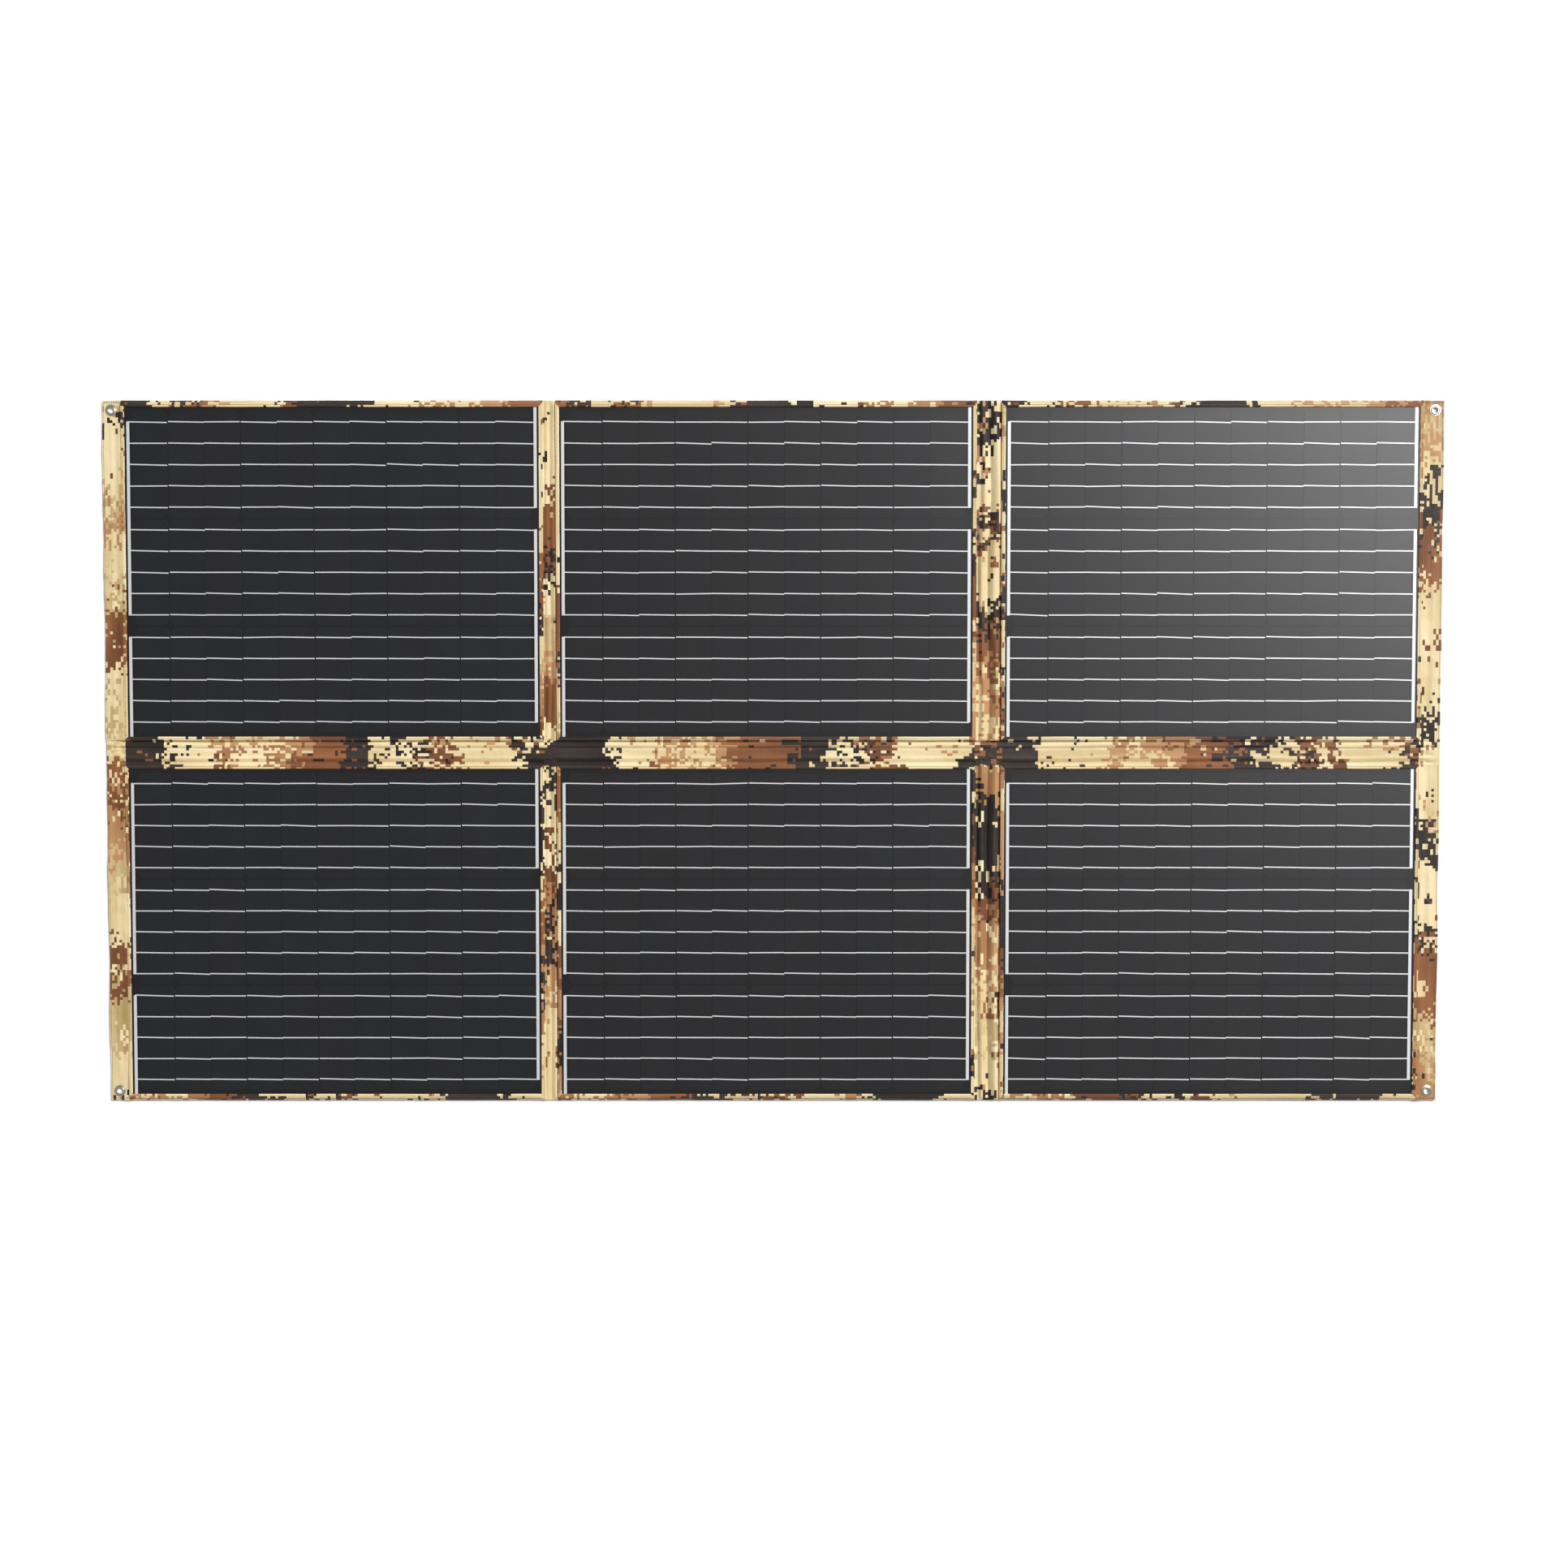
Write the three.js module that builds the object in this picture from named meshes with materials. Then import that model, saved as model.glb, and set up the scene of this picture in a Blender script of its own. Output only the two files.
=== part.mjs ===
// Folding solar blanket: six stiff solar panels, three columns by two rows, sewn into one cloth carrier.
// The cloth between the panels is left free, so the side columns fold inwards over the middle column,
// and then the upper row folds down over the lower row like the cover of a book.
// Millimetres. +X along the long side, +Y from the lower row to the upper row, +Z out of the cells.
// The origin is on the ground, under the middle of the blanket.
import * as THREE from "three";

// Cells: five-busbar wafers cut in three, eleven to a string, three strings to a panel.
const CELL_PITCH = 53.8;
const STRING_PITCH = 158.75;
const CELLS_PER_STRING = 11;
const STRINGS = 3;
const SIDE_MARGIN = 10.1; // window beyond the cells, left and right, where the cross ribbons run
const END_MARGIN = 5.4; // window beyond the cells, above and below

// The face of a panel that the cloth leaves open, and the board behind it.
const WINDOW_W = CELLS_PER_STRING * CELL_PITCH + 2 * SIDE_MARGIN;
const WINDOW_H = STRINGS * STRING_PITCH + 2 * END_MARGIN;
const LAP = 4.75; // cloth lapped over the panel's edge
const BOARD_W = WINDOW_W + 2 * LAP;
const BOARD_H = WINDOW_H + 2 * LAP;

// Free cloth from board to board, and round the outside.
const LEFT_FOLD_W = 20.5;
const RIGHT_FOLD_W = 38.5;
const SPINE_W = 38;
const LEFT_FLAP_W = 28.25;
const RIGHT_FLAP_W = 31.25;
const HEM_W = 4.75;
const CREASE_INSET = 2.5; // from a board's edge to the crease where the spine folds
const CLOTH_EDGE = 0.5; // cloth beyond a board's edge, next to a fold
const SEAM_GAP = 0.3; // between two sub-parts that meet edge to edge

// Heights of the layers.
const LAYER_GAP = 0.2;
const CLOTH_T = 0.6;
const WEBBING_T = 1.4;
const BOARD_T = 2.2;
const LAMINATE_T = 0.6;
const FILM_T = 0.3;
const FOLD_T = 1.2; // front and back cloth sewn together
const FLAP_T = 1.4;
const BACK_Z = WEBBING_T + LAYER_GAP;
const BOARD_Z = BACK_Z + CLOTH_T + LAYER_GAP;
const LAMINATE_Z = BOARD_Z + BOARD_T + LAYER_GAP;
const FILM_Z = LAMINATE_Z + LAMINATE_T + LAYER_GAP;
const BORDER_Z = FILM_Z + FILM_T + LAYER_GAP;

// The spine is a flat sleeve of cloth that carries the bus cable across the blanket.
const SPINE_T = 2.6;
const CHANNEL_W = 12;
const CHANNEL_T = 1.6;
const CABLE_W = 10;
const CABLE_T = 1.0;
const CABLE_END = 70; // from a side column's outer board edge to the end of the cable

// Terminal cover of a panel, in a notch of the board beside the spine.
const COVER_W = 56;
const COVER_H = 26;
const COVER_FROM_SPINE = 30;
const COVER_FROM_SIDE = 60;

// Eyelets in the four corners.
const EYELET_BORE_R = 4.25;
const EYELET_BARREL_R = 5;
const EYELET_FLANGE_R = 8.5;
const EYELET_HOLE_R = 5.3;
const EYELET_FLANGE_T = 0.4;
const EYELET_FROM_SIDE = 13;
const EYELET_FROM_END = 14;

// Gland in the back of the spine, where the output lead leaves the blanket.
const GLAND_BORE_R = 3.5;
const GLAND_BARREL_R = 5;
const GLAND_FLANGE_R = 8;
const GLAND_HOLE_R = 5.3;
const GLAND_FLANGE_T = 1;
const GLAND_X = 120;

// Carry handles of webbing, folded flat under the two long edges.
const WEBBING_W = 30;
const HANDLE_W = 190;
const HANDLE_DEPTH = 78;
const HANDLE_CORNER = 14;
const HANDLE_FROM_EDGE = 17;

const ROUND_STEPS = 32;

const paint = (color, roughness, metalness = 0) =>
  new THREE.MeshStandardMaterial({ color, roughness, metalness });
const CLOTH = paint(0xc9a873, 0.85);
const CLOTH_BACK = paint(0xb08e5f, 0.85);
const BOARD = paint(0x2a2b2c, 0.7);
const CELLS = paint(0x14171f, 0.35);
const FILM = paint(0x20232b, 0.25);
const COVER = paint(0x151515, 0.6);
const CABLE = paint(0x111111, 0.55);
const RUBBER = paint(0x0e0e0e, 0.8);
const METAL = paint(0xd9d4c8, 0.3, 1);
const WEBBING = paint(0x1b1a18, 0.9);

const blanket = new THREE.Group();

function add(name, geometry, material) {
  const mesh = new THREE.Mesh(geometry, material);
  mesh.name = name;
  blanket.add(mesh);
  return mesh;
}

// An area of the plan: x0 < x1 and y0 < y1.
const area = (x0, x1, y0, y1) => ({ x0, x1, y0, y1 });

function outline({ x0, x1, y0, y1 }, path = new THREE.Shape()) {
  path.moveTo(x0, y0);
  path.lineTo(x1, y0);
  path.lineTo(x1, y1);
  path.lineTo(x0, y1);
  path.closePath();
  return path;
}

function circle(x, y, radius) {
  const path = new THREE.Path();
  path.absarc(x, y, radius, 0, 2 * Math.PI, true);
  return path;
}

// A flat layer over an area, with holes, lying from z up to z + thickness.
function layer(shape, z, thickness) {
  const geometry = new THREE.ExtrudeGeometry(shape, {
    depth: thickness,
    bevelEnabled: false,
    curveSegments: ROUND_STEPS / 2,
  });
  return geometry.translate(0, 0, z);
}

// The spine's sleeve over an area: a flat tube along X with the cable channel through it.
function sleeve({ x0, x1, y0, y1 }) {
  const section = outline(area(y0, y1, BACK_Z, BACK_Z + SPINE_T));
  const low = BACK_Z + (SPINE_T - CHANNEL_T) / 2;
  section.holes.push(outline(area(-CHANNEL_W / 2, CHANNEL_W / 2, low, low + CHANNEL_T), new THREE.Path()));
  const geometry = new THREE.ExtrudeGeometry(section, { depth: x1 - x0, bevelEnabled: false });
  const turn = new THREE.Matrix4().makeBasis(
    new THREE.Vector3(0, 1, 0),
    new THREE.Vector3(0, 0, 1),
    new THREE.Vector3(1, 0, 0),
  );
  return geometry.applyMatrix4(turn).translate(x0, 0, 0);
}

// A spool-shaped ring round the Z axis: a barrel with a flange at each end.
function ring(bore, barrel, flange, low, high, flangeThickness) {
  const profile = [
    [bore, low],
    [flange, low],
    [flange, low + flangeThickness],
    [barrel, low + flangeThickness],
    [barrel, high - flangeThickness],
    [flange, high - flangeThickness],
    [flange, high],
    [bore, high],
    [bore, low],
  ].map(([r, y]) => new THREE.Vector2(r, y));
  return new THREE.LatheGeometry(profile, ROUND_STEPS).rotateX(Math.PI / 2);
}

// Plan of the columns and rows.
const TOTAL_W = LEFT_FLAP_W + 3 * BOARD_W + LEFT_FOLD_W + RIGHT_FOLD_W + RIGHT_FLAP_W;
const TOTAL_H = 2 * HEM_W + 2 * BOARD_H + SPINE_W;
const LEFT_X = -TOTAL_W / 2 + LEFT_FLAP_W;
const MIDDLE_X = LEFT_X + BOARD_W + LEFT_FOLD_W;
const RIGHT_X = MIDDLE_X + BOARD_W + RIGHT_FOLD_W;
const COLUMNS = [
  { name: "left", x: LEFT_X },
  { name: "middle", x: MIDDLE_X },
  { name: "right", x: RIGHT_X },
];
const ROWS = [
  { name: "lower", y0: -SPINE_W / 2 - BOARD_H, side: -1 },
  { name: "upper", y0: SPINE_W / 2, side: 1 },
];
const SPINE_EDGE = SPINE_W / 2 - CREASE_INSET - SEAM_GAP;
const CLOTH_INNER = SPINE_W / 2 - CLOTH_EDGE;
const CLOTH_OUTER = TOTAL_H / 2;

// The y range of the cloth of one row, from the spine to the hem.
const clothRows = (side) => (side > 0 ? [CLOTH_INNER, CLOTH_OUTER] : [-CLOTH_OUTER, -CLOTH_INNER]);

function panel(column, row) {
  const tag = `${column.name}_${row.name}`;
  const board = area(column.x, column.x + BOARD_W, row.y0, row.y0 + BOARD_H);
  const [y0, y1] = clothRows(row.side);
  const cloth = area(board.x0 - CLOTH_EDGE, board.x1 + CLOTH_EDGE, y0, y1);
  const opening = area(board.x0 + LAP, board.x1 - LAP, board.y0 + LAP, board.y1 - LAP);

  add(`back_cloth_${tag}`, layer(outline(cloth), BACK_Z, CLOTH_T), CLOTH_BACK);

  // The ribbons end beside the spine: at the left of an upper panel, at the right of a lower one.
  const coverX = row.side > 0 ? board.x0 + COVER_FROM_SIDE : board.x1 - COVER_FROM_SIDE - COVER_W;
  const coverY = row.side > 0 ? board.y0 + COVER_FROM_SPINE : board.y1 - COVER_FROM_SPINE - COVER_H;
  const notch = area(coverX, coverX + COVER_W, coverY, coverY + COVER_H);
  const boardShape = outline(board);
  boardShape.holes.push(outline(notch, new THREE.Path()));
  add(`backing_board_${tag}`, layer(boardShape, BOARD_Z, BOARD_T), BOARD);
  const cover = area(notch.x0 + SEAM_GAP, notch.x1 - SEAM_GAP, notch.y0 + SEAM_GAP, notch.y1 - SEAM_GAP);
  add(`terminal_cover_${tag}`, layer(outline(cover), BOARD_Z, BOARD_T), COVER);

  add(`cell_laminate_${tag}`, layer(outline(board), LAMINATE_Z, LAMINATE_T), CELLS);
  add(`front_film_${tag}`, layer(outline(board), FILM_Z, FILM_T), FILM);

  const border = outline(cloth);
  border.holes.push(outline(opening, new THREE.Path()));
  add(`front_border_${tag}`, layer(border, BORDER_Z, CLOTH_T), CLOTH);
}

function sideFlap(name, x0, x1, eyeletX, row) {
  const [y0, y1] = clothRows(row.side);
  const eyeletY = row.side * (CLOTH_OUTER - EYELET_FROM_END);
  const shape = outline(area(x0, x1, y0, y1));
  shape.holes.push(circle(eyeletX, eyeletY, EYELET_HOLE_R));
  add(`side_flap_${name}_${row.name}`, layer(shape, BACK_Z, FLAP_T), CLOTH);

  const low = BACK_Z - LAYER_GAP / 2 - EYELET_FLANGE_T;
  const high = BACK_Z + FLAP_T + LAYER_GAP / 2 + EYELET_FLANGE_T;
  const eyelet = ring(EYELET_BORE_R, EYELET_BARREL_R, EYELET_FLANGE_R, low, high, EYELET_FLANGE_T);
  add(`eyelet_${name}_${row.name}`, eyelet, METAL).position.set(eyeletX, eyeletY, 0);
}

// The free cloth between two columns, in one row.
function foldStrip(name, x0, x1, row) {
  const [y0, y1] = clothRows(row.side);
  add(`fold_strip_${name}_${row.name}`, layer(outline(area(x0, x1, y0, y1)), BACK_Z, FOLD_T), CLOTH);
}

function spine(leftFold, rightFold) {
  const across = (x0, x1) => sleeve(area(x0, x1, -SPINE_EDGE, SPINE_EDGE));
  const leftEnd = LEFT_X + BOARD_W + CLOTH_EDGE;
  const rightEnd = RIGHT_X - CLOTH_EDGE;
  add("spine_strip_left", across(-TOTAL_W / 2, leftEnd), CLOTH);
  add("spine_strip_right", across(rightEnd, TOTAL_W / 2), CLOTH);
  add("fold_crossing_left", across(...leftFold), CLOTH);
  add("fold_crossing_right", across(...rightFold), CLOTH);
  middleSpine(MIDDLE_X - CLOTH_EDGE, MIDDLE_X + BOARD_W + CLOTH_EDGE);
  busCable((leftFold[0] + leftFold[1]) / 2, (rightFold[0] + rightFold[1]) / 2);
}

// The middle of the spine is two cloths with the cable between them, and the gland in the lower one.
function middleSpine(x0, x1) {
  const wall = (SPINE_T - CHANNEL_T) / 2;
  const whole = area(x0, x1, -SPINE_EDGE, SPINE_EDGE);
  const back = outline(whole);
  back.holes.push(circle(GLAND_X, 0, GLAND_HOLE_R));
  add("spine_strip_middle_back", layer(back, BACK_Z, wall), CLOTH_BACK);
  add("spine_strip_middle_front", layer(outline(whole), BACK_Z + SPINE_T - wall, wall), CLOTH);
  const high = BACK_Z + wall;
  const low = high - wall - GLAND_FLANGE_T;
  const gland = new THREE.LatheGeometry(
    [
      [GLAND_BORE_R, low],
      [GLAND_FLANGE_R, low],
      [GLAND_FLANGE_R, BACK_Z - LAYER_GAP / 2],
      [GLAND_BARREL_R, BACK_Z - LAYER_GAP / 2],
      [GLAND_BARREL_R, high],
      [GLAND_BORE_R, high],
      [GLAND_BORE_R, low],
    ].map(([r, y]) => new THREE.Vector2(r, y)),
    ROUND_STEPS,
  ).rotateX(Math.PI / 2);
  add("output_gland", gland, RUBBER).position.set(GLAND_X, 0, 0);
}

// A flat cable in three lengths that meet in the middle of each fold.
function busCable(leftJoin, rightJoin) {
  const z = BACK_Z + (SPINE_T - CABLE_T) / 2;
  const length = (x0, x1) => layer(outline(area(x0, x1, -CABLE_W / 2, CABLE_W / 2)), z, CABLE_T);
  const half = SEAM_GAP / 2;
  add("bus_cable_left", length(LEFT_X + CABLE_END, leftJoin - half), CABLE);
  add("bus_cable_middle", length(leftJoin + half, rightJoin - half), CABLE);
  add("bus_cable_right", length(rightJoin + half, RIGHT_X + BOARD_W - CABLE_END), CABLE);
}

// A loop of webbing, lying on the ground under the hem with its grip towards the spine.
function handle(row) {
  const centreX = MIDDLE_X + BOARD_W / 2;
  const hingeY = CLOTH_OUTER - HANDLE_FROM_EDGE;
  const half = HANDLE_W / 2;
  const inner = half - WEBBING_W;
  const deep = HANDLE_DEPTH;
  const shape = new THREE.Shape(
    [
      [-half, 0],
      [-half, deep - HANDLE_CORNER],
      [-half + HANDLE_CORNER, deep],
      [half - HANDLE_CORNER, deep],
      [half, deep - HANDLE_CORNER],
      [half, 0],
      [inner, 0],
      [inner, deep - WEBBING_W],
      [-inner, deep - WEBBING_W],
      [-inner, 0],
    ].map(([x, y]) => new THREE.Vector2(x, y)),
  );
  const mesh = add(`handle_${row.name}`, layer(shape, 0, WEBBING_T), WEBBING);
  mesh.position.set(centreX, row.side * hingeY, 0);
  mesh.rotation.z = row.side > 0 ? Math.PI : 0;
}

const edge = CLOTH_EDGE + SEAM_GAP;
const leftFold = [LEFT_X + BOARD_W + edge, MIDDLE_X - edge];
const rightFold = [MIDDLE_X + BOARD_W + edge, RIGHT_X - edge];
for (const row of ROWS) {
  for (const column of COLUMNS) {
    panel(column, row);
  }
  foldStrip("left", ...leftFold, row);
  foldStrip("right", ...rightFold, row);
  sideFlap("left", -TOTAL_W / 2, LEFT_X - edge, -TOTAL_W / 2 + EYELET_FROM_SIDE, row);
  sideFlap("right", RIGHT_X + BOARD_W + edge, TOTAL_W / 2, TOTAL_W / 2 - EYELET_FROM_SIDE, row);
  handle(row);
}
spine(leftFold, rightFold);

export default blanket;
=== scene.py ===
"""Folding solar blanket: the looks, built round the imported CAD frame.

Six stiff panels in three columns and two rows are sewn into one carrier of digital camouflage cloth.
Every piece takes its place from the frame. Sizes are metres, written as a number of MM.
+X runs along the long side, +Y from the lower row to the upper row, +Z out of the cells.
"""
import math
import random

import bmesh
import bpy
from mathutils import Euler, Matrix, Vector, noise


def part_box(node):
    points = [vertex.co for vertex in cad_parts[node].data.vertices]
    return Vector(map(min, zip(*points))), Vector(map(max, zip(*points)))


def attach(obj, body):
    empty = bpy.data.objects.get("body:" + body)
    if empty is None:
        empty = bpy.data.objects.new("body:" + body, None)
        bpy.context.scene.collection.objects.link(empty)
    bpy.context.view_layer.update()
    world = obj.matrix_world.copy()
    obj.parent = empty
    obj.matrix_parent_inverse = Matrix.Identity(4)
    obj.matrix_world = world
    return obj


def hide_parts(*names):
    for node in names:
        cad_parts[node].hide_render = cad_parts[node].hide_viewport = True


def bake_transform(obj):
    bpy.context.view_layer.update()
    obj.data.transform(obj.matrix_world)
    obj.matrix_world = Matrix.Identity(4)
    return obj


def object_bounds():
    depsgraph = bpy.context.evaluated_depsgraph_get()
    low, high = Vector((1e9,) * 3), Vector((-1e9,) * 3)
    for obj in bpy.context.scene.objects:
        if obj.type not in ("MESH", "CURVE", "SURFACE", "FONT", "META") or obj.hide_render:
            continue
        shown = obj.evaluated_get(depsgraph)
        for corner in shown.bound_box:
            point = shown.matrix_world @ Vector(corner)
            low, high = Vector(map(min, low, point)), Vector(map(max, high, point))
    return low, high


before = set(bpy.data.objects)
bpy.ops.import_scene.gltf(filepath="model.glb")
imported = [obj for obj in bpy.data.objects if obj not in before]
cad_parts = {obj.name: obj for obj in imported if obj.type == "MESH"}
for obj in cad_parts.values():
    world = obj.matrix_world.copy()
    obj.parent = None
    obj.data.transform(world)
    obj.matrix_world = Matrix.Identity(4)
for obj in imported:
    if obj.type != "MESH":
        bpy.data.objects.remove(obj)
cad_low, cad_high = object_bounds()

MM = 0.001
COLUMNS = ("left", "middle", "right")
ROWS = ("lower", "upper")
OUTWARD = {"left": -1, "right": 1}  # which way the side columns lie along X
UPWARD = {"lower": -1, "upper": 1}  # which way the rows lie along Y

# The face of a panel.
LAP = 4.75 * MM  # cloth lapped over the board's edge
CELL_PITCH = 53.8 * MM
STRING_PITCH = 158.75 * MM
CELLS = 11
STRINGS = 3
BUSBARS = 5  # ribbons to a string
CELL_GAP_X = 1.3 * MM
CELL_GAP_Y = 2.0 * MM
CELL_CHAMFER = 9.0 * MM
CELL_T = 0.14 * MM
CELL_TILT = 0.0022  # how steeply a wafer may lie in the resin, rise over run
TINT_AND_PAINTED_SHEEN = {"left": 0.0, "middle": 0.4, "right": 0.55}  # of the wafers, from blue-black 0 to a lighter charcoal 1: partly their own tint, partly painted sheen, with the columns painted lighter toward the right, where the key and softbox shine from
RIBBON_W = 1.7 * MM
RIBBON_T = 0.1 * MM
FINGER_PITCH = 1.7 * MM  # of the fine lines across a wafer
RIBBON_NOTCH = 1.9 * MM  # bare stretch of ribbon between two pairs of cells
CROSS_RIBBON_W = 4.5 * MM
CROSS_RIBBON_INSET = 3.0 * MM  # from the cloth's edge to a cross ribbon
CROSS_RIBBON_TUCK = 2.5 * MM  # how far one runs on under the cloth

# Cloth.
CLOTH_T = 0.35 * MM
STITCH_PITCH = 3.4 * MM
STITCH_LENGTH = 2.8 * MM
STITCH_W = 0.75 * MM
EDGE_STITCH = 3.5 * MM  # from a window's edge out to its stitch line
SPINE_REACH = 18.3 * MM  # half the width of the spine's cloth
CREASE = (16.5 * MM, 3.2 * MM)  # distance from the spine's middle, and height, of its two creases
CREASE_BEND = 1.9 * MM  # from a crease to where its bend starts and ends
CLOTH_GAP = 0.25 * MM  # from a board's edge to the free cloth beside it

# Turned hardware, as radii, and the holes for it in the cloth.
EYELET_BORE, EYELET_BARREL, EYELET_HOLE = 4.25 * MM, 5.0 * MM, 6.2 * MM
GLAND_BORE, GLAND_BARREL, GLAND_HOLE = 3.5 * MM, 5.0 * MM, 6.4 * MM
LATHE_STEPS = 64


class Box:
    """The plan and heights of a CAD node at rest."""

    def __init__(self, node):
        low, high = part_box(node)
        self.x0, self.y0, self.z0 = low
        self.x1, self.y1, self.z1 = high

    def centre(self):
        """The middle of the node's box."""
        return Vector((self.x0 + self.x1, self.y0 + self.y1, self.z0 + self.z1)) / 2

    def end_x(self, outward):
        """Its right end if outward is 1, or its left end if it is -1."""
        return self.x1 if outward > 0 else self.x0


BOARD = {(c, r): Box(f"backing_board_{c}_{r}") for c in COLUMNS for r in ROWS}
BACK = Box("back_cloth_middle_lower")
LAMINATE = Box("cell_laminate_middle_lower")
FILM = Box("front_film_middle_lower")
MIDDLE_CABLE = Box("bus_cable_middle")
GLAND = Box("output_gland")
EDGE_X = cad_high.x
EDGE_Y = cad_high.y
# The gap that each fold crosses: its x at the middle board, then at the side board.
FOLD_SPAN = {
    side: (BOARD["middle", "upper"].end_x(out), BOARD[side, "upper"].end_x(-out))
    for side, out in OUTWARD.items()
}


# ---------------- materials

def linear(code):
    """A colour written as RRGGBB, as the shader wants it."""
    channels = [int(code[i:i + 2], 16) / 255 for i in (0, 2, 4)]
    return tuple(((c + 0.055) / 1.055) ** 2.4 if c > 0.04045 else c / 12.92 for c in channels) + (1.0,)


class Graph:
    """One material's node tree round its Principled shader."""

    def __init__(self, name, **constants):
        self.material = bpy.data.materials.new(name)
        self.material.use_nodes = True
        self.tree = self.material.node_tree
        self.shader = self.tree.nodes["Principled BSDF"]
        for key, value in constants.items():
            self.shader.inputs[key.replace("_", " ")].default_value = value

    def node(self, kind, inputs, **settings):
        """A new node. Each input is a number or colour, or the socket that it is linked to."""
        made = self.tree.nodes.new(kind)
        for key, value in settings.items():
            setattr(made, key, value)
        for key, value in inputs.items():
            if isinstance(value, bpy.types.NodeSocket):
                self.tree.links.new(value, made.inputs[key])
            else:
                made.inputs[key].default_value = value
        return made

    def flat(self):
        """The flat position on a piece, in metres."""
        return self.node("ShaderNodeUVMap", {}, uv_map="cloth").outputs[0]

    def place(self):
        """The position in the frame, in metres."""
        return self.node("ShaderNodeTexCoord", {}).outputs["Object"]

    def axes(self, vector):
        """The x, y and z of a vector."""
        return self.node("ShaderNodeSeparateXYZ", {0: vector}).outputs

    def math(self, operation, a, b=0.0):
        return self.node("ShaderNodeMath", {0: a, 1: b}, operation=operation).outputs[0]

    def scaled(self, vector, by):
        """A vector, each axis multiplied by its own number."""
        return self.node("ShaderNodeVectorMath", {0: vector, 1: by}, operation="MULTIPLY").outputs[0]

    def snapped(self, vector, step):
        """A vector that stays the same all over a block of this size."""
        return self.node("ShaderNodeVectorMath", {0: vector, 1: step}, operation="SNAP").outputs[0]

    def noise(self, vector, size, detail=2.0, stretch=(1.0, 1.0, 1.0)):
        """Smooth noise from 0 to 1 whose lumps are about size metres across."""
        scale = tuple(1 / (size * s) for s in stretch)
        inputs = {"Vector": self.scaled(vector, scale), "Scale": 1.0, "Detail": detail}
        return self.node("ShaderNodeTexNoise", inputs).outputs[0]

    def grain(self, vector):
        """A value from 0 to 1 that is unrelated from one place to the next."""
        return self.node("ShaderNodeTexWhiteNoise", {"Vector": vector}).outputs["Value"]

    def ramp(self, factor, stops, interpolation="LINEAR"):
        """A colour ramp of (place, value) stops, each value a number or a colour written as RRGGBB."""
        made = self.node("ShaderNodeValToRGB", {0: factor})
        band = made.color_ramp
        band.interpolation = interpolation
        while len(band.elements) < len(stops):
            band.elements.new(1.0)
        for element, (place, value) in zip(band.elements, stops):
            element.position = place
            element.color = linear(value) if isinstance(value, str) else (value, value, value, 1.0)
        return made.outputs[0]

    def mottle(self, vector, size, low, high):
        """Smooth noise between two values, such as a roughness."""
        return self.ramp(self.noise(vector, size), [(0.3, low), (0.7, high)])

    def mix(self, factor, a, b):
        """From a to b, each a socket or a colour written as RRGGBB."""
        a, b = (linear(colour) if isinstance(colour, str) else colour for colour in (a, b))
        return self.node("ShaderNodeMix", {0: factor, 6: a, 7: b}, data_type="RGBA").outputs[2]

    def rise(self, heights):
        """Adds up (height, metres) pairs into one surface height."""
        total = 0.0
        for height, metres in heights:
            total = self.math("ADD", self.math("MULTIPLY", height, metres), total)
        return total

    def finish(self, base, roughness=None, bumps=(), strength=1.0):
        """The material, with its colour, its roughness and the (height, metres) pairs of its relief."""
        self.tree.links.new(base, self.shader.inputs["Base Color"])
        if roughness is not None:
            self.tree.links.new(roughness, self.shader.inputs["Roughness"])
        if bumps:
            inputs = {"Height": self.rise(bumps), "Distance": 1.0, "Strength": strength}
            self.tree.links.new(self.node("ShaderNodeBump", inputs).outputs[0], self.shader.inputs["Normal"])
        return self.material


# The camouflage: each ink and the lighter shade that it fades to, and the order in which the inks
# follow each other along the cloth, as (millimetres from the start, ink). A print repeats after its length.
PIXEL = 4.1 * MM
INKS = {
    "black": ("231B18", "3A302B"),
    "brown": ("6F4429", "955F39"),
    "rust": ("A4744A", "C19468"),
    "olive": ("B59A67", "D0B685"),
    "cream": ("EFDDB1", "DCC592"),
}
PRINTS = {
    "carrier": (655, (
        (0, "black"), (52, "cream"), (136, "rust"), (165, "cream"), (203, "rust"), (250, "brown"),
        (326, "black"), (372, "cream"), (415, "black"), (434, "brown"), (472, "cream"), (600, "black"),
    )),
    "fold_left": (1050, (
        (0, "cream"), (140, "brown"), (232, "black"), (262, "cream"), (319, "olive"), (371, "rust"),
        (407, "brown"), (484, "cream"), (540, "black"), (610, "cream"), (657, "brown"), (728, "rust"),
        (776, "black"), (820, "rust"), (883, "cream"),
    )),
    "fold_right": (1050, (
        (0, "black"), (50, "cream"), (169, "brown"), (187, "black"), (215, "cream"), (290, "black"),
        (330, "brown"), (407, "rust"), (455, "cream"), (490, "rust"), (585, "black"), (710, "brown"),
        (758, "rust"), (847, "cream"), (900, "olive"), (940, "cream"),
    )),
    "flap_left": (1050, (
        (0, "black"), (30, "cream"), (121, "olive"), (157, "rust"), (205, "cream"), (276, "olive"),
        (306, "brown"), (371, "cream"), (466, "olive"), (502, "cream"), (562, "brown"), (597, "rust"),
        (680, "olive"), (720, "cream"), (800, "brown"), (859, "olive"), (940, "cream"),
    )),
    "flap_right": (1050, (
        (0, "olive"), (40, "rust"), (86, "cream"), (133, "black"), (175, "brown"), (252, "cream"),
        (443, "black"), (490, "cream"), (609, "black"), (669, "cream"), (782, "black"), (811, "brown"),
        (919, "olive"), (978, "rust"),
    )),
}
PRINTS["back"] = PRINTS["carrier"]
FOLLOW = {"back": 0.35}  # how far the order of the inks keeps to the length of the cloth, 1 if not given
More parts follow.
